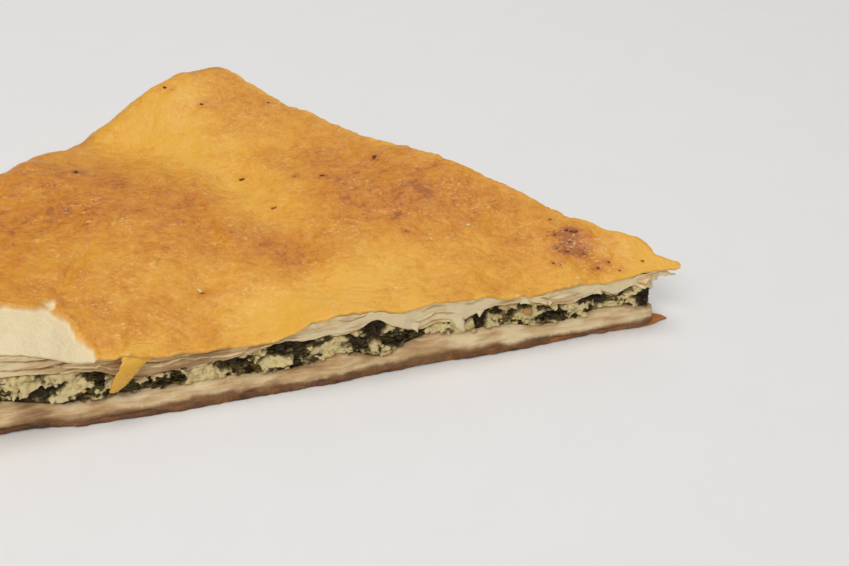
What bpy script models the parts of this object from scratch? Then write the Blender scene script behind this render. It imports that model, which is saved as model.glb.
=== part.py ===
"""A wedge of spinach and cheese filo pie, cut from a round pan.

Three layers lie on each other: the bottom crust, the filling and the top crust. Two straight
cuts meet at the tip, a little past the middle of the pan, and the puffed rim closes the third
side. There the top crust bends down over the end of the filling, on to the bottom crust.

Lengths are in millimetres until a mesh is written, which scales them to metres.
"""

from math import atan2, ceil, cos, pi, radians, sin

import bpy
import numpy as np
from mathutils import Matrix, Vector, noise
from mathutils.geometry import delaunay_2d_cdt

MM = 0.001

# Plan: the tip is at the origin and the front cut runs along -X
TIP_ANGLE = radians(53.5)
PAN_RADIUS = 119.5
PAN_CENTRE = (-47.0, -3.0)
RIM_WAVE = 0.9
GAP = 0.45

# How far each layer's blunt tip and cut faces stand back from the ideal wedge
BASE_TIP = 0.9
FILLING_TIP = 4.2
CRUST_TIP = 0.8
FILLING_SETBACK = 0.7
FILLING_RIM_INSET = 5.0

# Heights of the layers above the foot
BASE_HEIGHT = 5.2
BASE_RIM_HEIGHT = 2.0
BROWN_LAYER = 1.9
FILLING_HEIGHT = 5.4
FILLING_END = 0.5
FILLING_FOLLOW = 0.45
CROWN_HEIGHT = 15.2
SKIN_THICKNESS = 0.9
RIM_ROUNDING = 11.0
RIM_DROP = 0.62
SKIN_TIP_REACH = 2.6
BROWN_TIP_REACH = 1.8
TIP_SLIMNESS = 0.22

# How far from the tip the sides turn to face along the middle line, and the reaches fade
TIP_TURN = 3.0
TIP_FADE = 4.0

# Rows of the bottom crust's wall: level above the foot, or None for the top, and outward offset
BASE_ROWS = ((0.0, 0.0), (BROWN_LAYER / 2.0, 0.35), (BROWN_LAYER, -0.35), (3.4, 0.15), (None, -0.2))

# The filling's wall: its rows, its coarse and fine roughness, and the share left at its edges
FILLING_ROWS = 5
FILLING_ROUGHNESS = (1.1, 0.6)
FILLING_EDGE_SHARE = 0.5

# The top crust's wall: pale sheets between grooves, shallower at the rim, under the skin's edge
SHEET_ROWS = 5
GROOVE_DEPTH = 0.5
GROOVE_SPREAD = 1.6
SHEET_REACH = 0.35
RIM_GROOVE_SHARE = 0.45
SKIN_REACH = 0.45
SKIN_RAGGEDNESS = 0.6
SKIN_EDGE_SLOPE = 0.25
SKIN_SHARE_LIMIT = 0.3

# Spacing of points on the cuts, on the rim, over the crust and over the hidden faces
CUT_STEP = 2.4
RIM_STEP = 4.2
SKIN_STEP = 3.7
HIDDEN_BANDS = ((1.5, 3.4, 2.6), (3.4, 16.0, 4.2), (16.0, 200.0, 10.0))
UNDERSIDE_BANDS = ((1.5, 3.4, 2.6), (3.4, 22.0, 4.2), (22.0, 200.0, 10.0))
SKIN_BANDS = ((1.5, 200.0, SKIN_STEP),)

# Broad swells of the crust: where, how wide and how high
SWELLS = (
    ((-83.0, 104.0), 15.0, 6.6),
    ((-96.0, 100.0), 8.0, 2.0),
    ((-142.0, 44.0), 27.0, 4.0),
    ((-150.0, 2.0), 15.0, 5.4),
    ((-98.0, 0.0), 13.0, -3.2),
    ((-75.0, 1.0), 9.0, 1.3),
    ((-31.0, 0.0), 9.0, -1.5),
    ((-34.0, 48.0), 15.0, 4.3),
    ((-60.0, 82.0), 11.0, 0.6),
    ((-64.0, 46.0), 20.0, 2.2),
    ((-112.0, 50.0), 13.0, 1.6),
    ((-112.0, 87.0), 9.5, -2.7),
    ((-134.0, 70.0), 12.0, 1.5),
    ((-14.0, 22.0), 8.0, 2.2),
    ((1.0, 3.0), 6.0, 1.1),
)
# Shallow troughs pressed along a line: both ends, half width and depth
TROUGHS = (
    ((-103.0, 82.0), (-86.0, 60.0), 7.0, 1.2),
    ((-86.0, 60.0), (-76.0, 14.0), 6.0, 1.2),
    ((-98.0, 66.0), (-95.0, 32.0), 2.6, 0.6),
    ((-124.0, 34.0), (-130.0, 20.0), 2.4, 0.7),
)

# Where the brown skin has broken away at the front left, down to the pale sheets
PATCH_CENTRE = (-141.0, 6.0)
PATCH_RADII = (14.5, 13.0)
PATCH_DEPTH = 0.8

# The flake of skin that hangs over the front cut
FLAKE_ROOT = (-116.5, 0.6, 14.6)
FLAKE_END = (-123.0, -1.9, 7.2)
FLAKE_WIDTH = 5.0
FLAKE_THICKNESS = 0.7

# Loose bits fused to the crust: where, and their size
CRUST_BITS = (
    ((-101.8, 14.6), 1.9),
    ((-79.5, 42.5), 1.3),
    ((-21.5, 3.0), 1.8),
    ((-74.5, 1.8), 1.8),
    ((-43.0, 3.0), 1.6),
    ((-84.0, 97.5), 1.4),
)

CRUST_COLOR = (0.62, 0.30, 0.075)
FILLING_COLOR = (0.13, 0.14, 0.055)
BASE_COLOR = (0.66, 0.55, 0.36)


def smooth(value, low, high):
    """Rise from 0 at low to 1 at high, with level ends."""
    share = np.clip((value - low) / (high - low), 0.0, 1.0)
    return share * share * (3.0 - 2.0 * share)


def grain(x, y, size, seed):
    """Even noise between about -1 and 1, with features of the given size."""
    return noise.noise(Vector((x / size, y / size, seed * 7.31)))


# Plan of the wedge

def rim_radius(angle):
    """Distance from the tip to the round rim, in the direction of the angle."""
    along = PAN_CENTRE[0] * cos(angle) + PAN_CENTRE[1] * sin(angle)
    across = PAN_CENTRE[0] * sin(angle) - PAN_CENTRE[1] * cos(angle)
    share = (angle - (pi - TIP_ANGLE)) / TIP_ANGLE
    return along + (PAN_RADIUS**2 - across**2) ** 0.5 + RIM_WAVE * sin(9.0 * share) * sin(pi * share)


def depths(x, y):
    """How far a point lies inside the front cut, the back cut and the rim."""
    back = -x * sin(pi - TIP_ANGLE) + y * cos(pi - TIP_ANGLE)
    angle = atan2(max(y, 0.0), x) if x or y else pi
    angle = min(max(angle, pi - TIP_ANGLE), pi)
    return y, back, rim_radius(angle) - (x * x + y * y) ** 0.5


def plan_loop(tip, rim_inset):
    """Points counter-clockwise round the wedge, with the name of the side that each lies on."""
    away = pi - TIP_ANGLE
    points = []
    back_end = rim_radius(away) - rim_inset
    steps = ceil((back_end - tip) / CUT_STEP)
    for k in range(steps):
        reach = tip + (back_end - tip) * k / steps
        points.append((reach * cos(away), reach * sin(away), "back"))
    steps = ceil(rim_radius(0.5 * (pi + away)) * TIP_ANGLE / RIM_STEP)
    for k in range(steps):
        angle = away + TIP_ANGLE * k / steps
        reach = rim_radius(angle) - rim_inset
        points.append((reach * cos(angle), reach * sin(angle), "rim"))
    front_end = rim_radius(pi) - rim_inset
    steps = ceil((front_end - tip) / CUT_STEP)
    for k in range(steps + 1):
        points.append((-front_end + (front_end - tip) * k / steps, 0.0, "front"))
    return points


def outward(points):
    """The outward direction at each point of a counter-clockwise loop."""
    place = np.array([(x, y) for x, y, side in points])
    along = np.roll(place, -1, axis=0) - np.roll(place, 1, axis=0)
    normal = np.stack([along[:, 1], -along[:, 0]], axis=1)
    normal /= np.linalg.norm(normal, axis=1)[:, None]
    # Close to the tip all the sides face straight out along the wedge's middle line
    tip_share = np.exp(-(place**2).sum(axis=1) / TIP_TURN**2)[:, None]
    middle = (cos(0.5 * TIP_ANGLE), -sin(0.5 * TIP_ANGLE))
    return normal + (middle - normal) * tip_share


# Relief of the crust

def trough(x, y, start, end, width, depth):
    """Depth of a soft trough along the line from start to end."""
    line = np.subtract(end, start)
    share = np.clip(np.dot(np.subtract((x, y), start), line) / np.dot(line, line), 0.0, 1.0)
    away = np.linalg.norm(np.subtract((x, y), start) - share * line)
    return depth * np.exp(-((away / width) ** 2))


def patch_reach(x, y):
    """Below 1 inside the ragged outline of the broken patch of skin."""
    across = (x - PATCH_CENTRE[0]) / PATCH_RADII[0]
    inward = (y - PATCH_CENTRE[1]) / PATCH_RADII[1]
    wobble = 0.16 * grain(x, y, 4.5, 5)
    return (across * across + inward * inward) ** 0.5 + wobble


def swelling(x, y):
    """Height that the broad swells add."""
    height = 0.0
    for (px, py), width, swell in SWELLS:
        height += swell * np.exp(-((x - px) ** 2 + (y - py) ** 2) / (2.0 * width * width))
    return height


def crown(x, y):
    """Height of the crust's outer face before the rim rounds it off."""
    height = CROWN_HEIGHT + swelling(x, y)
    for start, end, width, depth in TROUGHS:
        height -= trough(x, y, start, end, width, depth)
    height += 0.45 * grain(x, y, 13.0, 6) + 0.28 * grain(x, y, 5.5, 7)
    return height - PATCH_DEPTH * (1.0 - float(smooth(patch_reach(x, y), 0.94, 1.04)))


# Heights of the faces between the layers

def near_cut(x, y):
    """1 on a cut face, falling to 0 at 15 mm inside it."""
    front, back, rim = depths(x, y)
    return 1.0 - float(smooth(min(front, back), 1.0, 15.0))


def foot_level(x, y):
    """Lower face of the bottom crust, flat on the ground."""
    return 0.0


def base_top(x, y):
    """Upper face of the bottom crust: level inside, wavy at the cuts, thick before the rim."""
    front, back, rim = depths(x, y)
    wave = 0.9 * grain(x, y, 10.0, 1) + 0.5 * grain(x, y, 21.0, 2)
    roll = 2.2 * float(smooth(rim, 6.0, 20.0) * (1.0 - smooth(rim, 20.0, 36.0)))
    height = BASE_HEIGHT + roll + wave * near_cut(x, y)
    return BASE_RIM_HEIGHT + (height - BASE_RIM_HEIGHT) * float(smooth(rim, 0.0, 18.0))


def filling_growth(x, y):
    """Thickness of the filling beyond its thin end at the rim. It heaps up under the swells at the cuts."""
    front, back, rim = depths(x, y)
    wave = 0.9 * grain(x, y, 10.0, 3) + 0.4 * grain(x, y, 24.0, 4)
    heap = wave + FILLING_FOLLOW * swelling(x, y)
    full = FILLING_HEIGHT - FILLING_END + heap * near_cut(x, y)
    return full * float(smooth(rim, 4.0, 20.0))


def filling_underside(x, y):
    """Lower face of the filling, a gap above the bottom crust."""
    return base_top(x, y) + GAP


def filling_top(x, y):
    """Upper face of the filling."""
    return base_top(x, y) + GAP + FILLING_END + filling_growth(x, y)


def crust_underside(x, y):
    """Lower face of the top crust, which meets the bottom crust at the rim."""
    front, back, rim = depths(x, y)
    step = (FILLING_END + GAP) * float(smooth(rim, 1.2, 4.4))
    return base_top(x, y) + GAP + step + filling_growth(x, y)


def crust_top(x, y):
    """Outer face of the top crust, rounded down to the pan at the rim."""
    front, back, rim = depths(x, y)
    share = min(max(rim / RIM_ROUNDING, 0.0), 1.0)
    rounding = (1.0 - (1.0 - share) ** 2) ** 0.5
    low = crust_underside(x, y) + SKIN_THICKNESS
    return low + (crown(x, y) - low) * ((1.0 - RIM_DROP) + RIM_DROP * rounding)


# Ragged sections of the walls

def clear_of_tip(x, y, offset):
    """The offset, no deeper than the slim tip of the wedge allows."""
    return max(offset, -TIP_SLIMNESS * (x * x + y * y) ** 0.5)


def tip_reach(x, y, reach):
    """How far a row runs out past the blunt tip."""
    return reach * np.exp(-(x * x + y * y) / TIP_FADE**2)


def base_section(x, y, side, along):
    """Rows of the bottom crust's wall at one place: a thin brown layer under pale dough."""
    top = base_top(x, y)
    scale = min(1.0, top / BASE_HEIGHT)
    rows = []
    for level, offset in BASE_ROWS:
        height = top if level is None else level * scale
        rough = 0.35 * grain(along, height, 4.0, 8) if level != 0.0 else 0.3 * grain(along, 0.0, 11.0, 9)
        reach = tip_reach(x, y, BROWN_TIP_REACH) if level is not None and level <= BROWN_LAYER else 0.0
        rows.append((height, clear_of_tip(x, y, offset + rough) + reach))
    return rows


def filling_section(x, y, side, along):
    """Rows of the filling's wall: crumbly, and set back from the crusts."""
    low = filling_underside(x, y)
    high = filling_top(x, y)
    rows = []
    coarse, fine = FILLING_ROUGHNESS
    for k in range(FILLING_ROWS):
        height = low + (high - low) * k / (FILLING_ROWS - 1)
        ends = FILLING_EDGE_SHARE if k in (0, FILLING_ROWS - 1) else 1.0
        rough = coarse * grain(along, 1.5 * height, 4.2, 10) + fine * grain(along, height, 9.0, 11)
        rows.append((height, -FILLING_SETBACK + rough * ends))
    return rows


def crust_section(x, y, side, along):
    """Rows of the top crust's wall: pale sheets with grooves between them, under the skin's edge."""
    low = crust_underside(x, y)
    high = crust_top(x, y)
    skin = min(SKIN_THICKNESS, SKIN_SHARE_LIMIT * (high - low))
    body = high - skin - low
    deep = RIM_GROOVE_SHARE if side == "rim" else 1.0
    rows = [(low, clear_of_tip(x, y, -0.1))]
    for k in range(1, SHEET_ROWS + 1):
        open_share = 0.5 + 0.5 * grain(along, k * 3.7, 8.0, 12)
        groove = -GROOVE_DEPTH - GROOVE_SPREAD * open_share if k % 2 else SHEET_REACH * open_share
        rows.append((low + body * k / (SHEET_ROWS + 1), clear_of_tip(x, y, groove * deep)))
    edge = SKIN_REACH + SKIN_RAGGEDNESS * grain(along, high, 5.0, 13) + tip_reach(x, y, SKIN_TIP_REACH)
    rows.append((high - skin, edge))
    rows.append((high, edge - SKIN_EDGE_SLOPE))
    return rows


# Meshes

def sloping_rows(points, section):
    """Wall rows as an array of columns by rows by XYZ, from each place's section."""
    normal = outward(points)
    along = 0.0
    columns = []
    for k, (x, y, side) in enumerate(points):
        column = []
        for height, offset in section(x, y, side, along):
            column.append((x + normal[k, 0] * offset, y + normal[k, 1] * offset, height))
        columns.append(column)
        following = points[(k + 1) % len(points)]
        along += ((following[0] - x) ** 2 + (following[1] - y) ** 2) ** 0.5
    return np.array(columns)


def inner_points(bands, keep_out, rim_inset=0.0):
    """Points of three-cornered nets over the plan, wider apart further from the wedge's edge."""
    points = []
    longest = rim_radius(pi)
    for nearest, farthest, step in bands:
        row_gap = step * cos(radians(30.0))
        for row in range(ceil(longest / row_gap) + 1):
            shift = 0.5 * step if row % 2 else 0.0
            for k in range(ceil(longest / step) + 2):
                x = -k * step - shift
                y = row * row_gap
                front, back, rim = depths(x, y)
                depth = min(front, back, rim - rim_inset)
                if depth >= nearest + keep_out and depth < farthest + keep_out:
                    points.append((x, y))
    return points


def cap_faces(loop, inner):
    """Triangles over the closed loop and the inner points, facing up, as indices into both."""
    flat = [Vector(point) for point in loop] + [Vector(point) for point in inner]
    outline = list(range(len(loop)))
    found = delaunay_2d_cdt(flat, [], [outline], 1, 1e-5)
    source = [origins[0] for origins in found[3]]
    return [[source[corner] for corner in face] for face in found[2]]


def closed_layer(points, section, low_bands, high_bands, low, high, keep_out=0.0, rim_inset=0.0):
    """Vertices and faces of one layer: a ragged wall between a lower and an upper cap."""
    wall = sloping_rows(points, section)
    columns, rows = wall.shape[:2]
    vertices = [tuple(vertex) for vertex in wall.reshape(-1, 3)]
    faces = []
    for k in range(columns):
        after = (k + 1) % columns
        for row in range(rows - 1):
            a, b = k * rows + row, after * rows + row
            faces += [(a, b, b + 1), (a, b + 1, a + 1)]
    for row, bands, height in ((0, low_bands, low), (rows - 1, high_bands, high)):
        inner = inner_points(bands, keep_out, rim_inset)
        rim = [k * rows + row for k in range(columns)]
        index = rim + list(range(len(vertices), len(vertices) + len(inner)))
        vertices += [(x, y, height(x, y)) for x, y in inner]
        for face in cap_faces([vertices[k][:2] for k in rim], inner):
            corners = [index[corner] for corner in face]
            faces.append(tuple(corners if row else corners[::-1]))
    return vertices, faces


def make_object(name, vertices, faces, material, collection):
    """A mesh object in metres from vertices in millimetres."""
    mesh = bpy.data.meshes.new(name)
    mesh.from_pydata([Vector(vertex) * MM for vertex in vertices], [], faces)
    mesh.materials.append(material)
    thing = bpy.data.objects.new(name, mesh)
    collection.objects.link(thing)
    return thing


def make_material(name, color, roughness):
    """A plain material of one colour."""
    material = bpy.data.materials.new(name)
    material.use_nodes = True
    shader = material.node_tree.nodes["Principled BSDF"]
    shader.inputs["Base Color"].default_value = (*color, 1.0)
    shader.inputs["Roughness"].default_value = roughness
    return material


# The layers

def bottom_crust(collection):
    """The bottom crust: brown underneath, and pale where the cuts show it."""
    material = make_material("baked_dough", BASE_COLOR, 0.75)
    parts = closed_layer(plan_loop(BASE_TIP, 0.0), base_section, HIDDEN_BANDS[2:], HIDDEN_BANDS,
                         foot_level, base_top)
    return make_object("bottom_crust", *parts, material, collection)


def filling(collection):
    """The spinach and cheese filling, which ends inside the rim."""
    material = make_material("spinach_and_cheese", FILLING_COLOR, 0.6)
    parts = closed_layer(plan_loop(FILLING_TIP, FILLING_RIM_INSET), filling_section, HIDDEN_BANDS,
                         HIDDEN_BANDS, filling_underside, filling_top, FILLING_SETBACK,
                         FILLING_RIM_INSET)
    return make_object("filling", *parts, material, collection)


def hanging_flake(collection):
    """A strip of skin that bends over the edge and hangs in front of the cut, to a ragged point."""
    root = np.array(FLAKE_ROOT)
    end = np.array(FLAKE_END)
    stations = 7
    vertices = []
    for k in range(stations):
        share = k / (stations - 1)
        middle = root + (end - root) * share
        middle[1] -= 1.5 * sin(pi * min(1.0, 1.4 * share))
        half = 0.5 * FLAKE_WIDTH * (1.0 - 0.72 * share) * (1.0 + 0.15 * sin(7.0 * share))
        for side in (-1.0, 1.0):
            across = Vector((half * side, 0.25 * side, -0.35 * half * side))
            for depth in (-0.5, 0.5):
                vertex = Vector(middle) + across + Vector((0.0, depth * FLAKE_THICKNESS, 0.0))
                vertices.append(vertex)
    faces = []
    for k in range(stations - 1):
        a, b = 4 * k, 4 * k + 4
        for i, j in ((0, 2), (2, 3), (3, 1), (1, 0)):
            faces.append((a + i, a + j, b + j, b + i))
    faces += [(1, 3, 2, 0), tuple(4 * (stations - 1) + k for k in (0, 2, 3, 1))]
    material = bpy.data.materials["browned_filo"]
    return make_object("flake", vertices, faces, material, collection)


def crust_bit(place, size, collection):
    """A crumb that lies on the crust, sunk a little into it."""
    x, y = place
    bpy.ops.mesh.primitive_ico_sphere_add(subdivisions=1, radius=0.5 * size * MM)
    bit = bpy.context.active_object
    bit.location = Vector((x, y, crust_top(x, y) + 0.12 * size)) * MM
    bit.scale = (1.2, 0.85, 0.7)
    bit.rotation_euler = (0.0, 0.0, x)
    for owner in list(bit.users_collection):
        owner.objects.unlink(bit)
    collection.objects.link(bit)
    return bit


def top_crust(collection):
    """The top crust, with the hanging flake and the loose bits fused to it."""
    material = make_material("browned_filo", CRUST_COLOR, 0.5)
    parts = closed_layer(plan_loop(CRUST_TIP, 0.0), crust_section, UNDERSIDE_BANDS, SKIN_BANDS,
                         crust_underside, crust_top)
    crust = make_object("top_crust", *parts, material, collection)
    bits = bpy.data.collections.new("fused_bits")
    bpy.context.scene.collection.children.link(bits)
    hanging_flake(bits)
    for place, size in CRUST_BITS:
        crust_bit(place, size, bits)
    union = crust.modifiers.new("fuse_bits", "BOOLEAN")
    union.operation = "UNION"
    union.operand_type = "COLLECTION"
    union.collection = bits
    bpy.context.view_layer.update()
    fused = bpy.data.meshes.new_from_object(crust.evaluated_get(bpy.context.evaluated_depsgraph_get()))
    crust.modifiers.remove(union)
    crust.data = fused
    for bit in list(bits.objects):
        bpy.data.objects.remove(bit)
    bpy.data.collections.remove(bits)
    return crust


def move_origin(things):
    """Move all the meshes so that the origin is the bottom centre of their common box."""
    corners = np.array([vertex.co for thing in things for vertex in thing.data.vertices])
    low, high = corners.min(axis=0), corners.max(axis=0)
    shift = Matrix.Translation((-0.5 * (low[0] + high[0]), -0.5 * (low[1] + high[1]), -low[2]))
    for thing in things:
        thing.data.transform(shift)


def main():
    """Clear the scene and build the three layers."""
    for thing in list(bpy.data.objects):
        bpy.data.objects.remove(thing)
    collection = bpy.data.collections.new("spinach_pie_wedge")
    bpy.context.scene.collection.children.link(collection)
    layers = [bottom_crust(collection), filling(collection), top_crust(collection)]
    move_origin(layers)


main()
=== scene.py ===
"""Looks of a wedge of spinach and cheese filo pie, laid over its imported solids.

The pie is shaped in plan coordinates: millimetres, with the tip of the wedge at the origin, the
front cut along -X and Z up from the foot. PiePlan.place turns them into the frame's metres.
Each layer is worked out as whole numpy arrays: caps over the wedge, ragged walls round it, thin
sheets along the two cuts, and scattered shreds and lumps of filling.
"""

import logging
from dataclasses import dataclass, field
from enum import Enum
from math import cos, pi, radians, sin

import bpy
import numpy as np
from mathutils import Matrix, Vector

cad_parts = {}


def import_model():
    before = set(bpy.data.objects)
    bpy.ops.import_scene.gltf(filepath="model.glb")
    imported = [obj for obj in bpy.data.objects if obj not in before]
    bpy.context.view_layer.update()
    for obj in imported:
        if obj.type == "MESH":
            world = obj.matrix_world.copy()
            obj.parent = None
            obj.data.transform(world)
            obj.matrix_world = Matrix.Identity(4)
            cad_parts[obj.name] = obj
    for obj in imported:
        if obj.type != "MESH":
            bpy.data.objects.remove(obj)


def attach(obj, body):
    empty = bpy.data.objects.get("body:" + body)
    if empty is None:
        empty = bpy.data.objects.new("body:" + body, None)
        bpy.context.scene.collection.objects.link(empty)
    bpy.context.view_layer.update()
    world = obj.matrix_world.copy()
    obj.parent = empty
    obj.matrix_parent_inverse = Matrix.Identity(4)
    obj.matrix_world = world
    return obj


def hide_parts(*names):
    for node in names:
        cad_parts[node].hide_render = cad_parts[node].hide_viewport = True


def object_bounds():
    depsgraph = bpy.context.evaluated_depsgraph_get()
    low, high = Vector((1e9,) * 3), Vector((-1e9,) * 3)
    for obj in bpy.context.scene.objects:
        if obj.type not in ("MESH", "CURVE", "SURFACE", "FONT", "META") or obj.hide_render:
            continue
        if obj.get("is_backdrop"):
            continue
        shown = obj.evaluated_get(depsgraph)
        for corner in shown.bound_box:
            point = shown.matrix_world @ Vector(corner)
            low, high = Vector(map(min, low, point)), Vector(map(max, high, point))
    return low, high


LOG = logging.getLogger("filo_pie")
MM = 0.001
BODY = "root"
# Rows and points round of the tubes that make the torn corners and the hanging flake
CORNER_ROWS, CORNER_AROUND = 22, 16
FLAKE_ROWS, FLAKE_AROUND = 40, 16
# Rings and points round of a crumb on the skin
CRUMB_RINGS, CRUMB_AROUND = 8, 10
# How far inside the cuts the backs of the rough faces lie, in millimetres
LEAF_DEPTH = 4.0
FACE_DEPTH = 3.6
# The floor, in metres: its side and how far it lies below the foot
FLOOR_SIZE = 6.0
FLOOR_DROP = 0.00002
Array = np.ndarray
Colour = tuple[float, float, float]


class Node(Enum):
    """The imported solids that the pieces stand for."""

    BOTTOM_CRUST = "bottom_crust"
    FILLING = "filling"
    TOP_CRUST = "top_crust"


class Side(Enum):
    """The two straight cuts of the wedge."""

    FRONT = "front"
    BACK = "back"


# Numbers and noise

def smooth(value: Array | float, low: float, high: float) -> Array:
    """Rise from 0 at low to 1 at high with level ends: 3t squared less 2t cubed.

    Args:
        value: where to read the rise.
        low: value at which it leaves 0.
        high: value at which it reaches 1.

    Returns:
        The share between 0 and 1.
    """
    share = np.clip((np.asarray(value, float) - low) / (high - low), 0.0, 1.0)
    return share * share * (3.0 - 2.0 * share)


def curve_through(knots: tuple[tuple[float, float], ...], where: Array) -> Array:
    """Smooth curve through knots: a cubic between each two, with the slope of its neighbours.

    Args:
        knots: pairs of place and height, in order of place.
        where: places to read.

    Returns:
        Heights at the places, level beyond the first and last knot.
    """
    place, height = np.array(knots, float).T
    slope = np.gradient(height, place)
    where = np.clip(where, place[0], place[-1])
    k = np.clip(np.searchsorted(place, where) - 1, 0, len(place) - 2)
    span = place[k + 1] - place[k]
    t = (where - place[k]) / span
    rise = height[k] * (2 * t**3 - 3 * t**2 + 1) + height[k + 1] * (3 * t**2 - 2 * t**3)
    return rise + span * (slope[k] * (t**3 - 2 * t**2 + t) + slope[k + 1] * (t**3 - t**2))


def lattice_value(ix: Array, iy: Array, iz: Array, seed: int) -> Array:
    """A fixed number between -1 and 1 for each point of a whole-number lattice."""
    mixed = (ix * 374761393 + iy * 668265263 + iz * 1440662683 + seed * 974634777) & 0xFFFFFFFF
    mixed = ((mixed ^ (mixed >> 13)) * 1274126177) & 0xFFFFFFFF
    mixed = mixed ^ (mixed >> 16)
    return mixed / 2147483647.5 - 1.0


def grain(x: Array, y: Array, z: Array | float, size: float, seed: int, octaves: int = 1) -> Array:
    """Even noise: lattice values blended between the eight corners round each point.

    Args:
        x: first coordinate.
        y: second coordinate.
        z: third coordinate.
        size: distance between lattice points, in the units of the coordinates.
        seed: chooses one of many fixed patterns.
        octaves: layers of noise, each half as large and half as strong as the last.

    Returns:
        Values between about -1 and 1.
    """
    x, y, z = np.broadcast_arrays(np.asarray(x, float), np.asarray(y, float), np.asarray(z, float))
    total = np.zeros(x.shape)
    strength = 1.0
    for octave in range(octaves):
        place = [axis / size * 2.0**octave + 31.7 * octave for axis in (x, y, z)]
        whole = [np.floor(axis).astype(np.int64) for axis in place]
        u, v, w = [(p - i) ** 3 * ((p - i) * ((p - i) * 6 - 15) + 10) for p, i in zip(place, whole)]
        value = np.zeros(x.shape)
        for i, j, k in np.ndindex(2, 2, 2):
            corner = lattice_value(whole[0] + i, whole[1] + j, whole[2] + k, seed + octave)
            value += corner * (u if i else 1 - u) * (v if j else 1 - v) * (w if k else 1 - w)
        total += strength * value
        strength *= 0.5
    return total / (2.0 - 2.0 * strength)


# Plan of the wedge

@dataclass(frozen=True)
class CutLine:
    """One straight cut, seen from above.

    Args:
        side: which of the two cuts it is.
        along: unit direction from the tip to the rim.
        outward: unit direction away from the pie.
        length: distance from the tip to the rim.
    """

    side: Side
    along: tuple[float, float]
    outward: tuple[float, float]
    length: float

    def place(self, reach: Array, out: Array) -> tuple[Array, Array]:
        """Plan position at a distance from the tip and a distance out from the cut's face."""
        x = self.along[0] * reach + self.outward[0] * out
        return x, self.along[1] * reach + self.outward[1] * out


@dataclass(frozen=True)
class PlanGrid:
    """A net over the wedge, with the loop round its border.

    Args:
        x: plan X of each node of the net.
        y: plan Y of each node of the net.
        loop_x: plan X round the border, from the tip along the front cut, the rim and the back cut.
        loop_y: plan Y round the border.
        normal: outward unit direction at each point of the border.
    """

    x: Array
    y: Array
    loop_x: Array
    loop_y: Array
    normal: Array


def border(net: Array) -> Array:
    """The border of a net, in order: front cut, outer half of the rim, inner half, back cut."""
    return np.concatenate([net[:, 0], net[-1, 1:], net[-2::-1, -1], net[0, -2:0:-1]])


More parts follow.
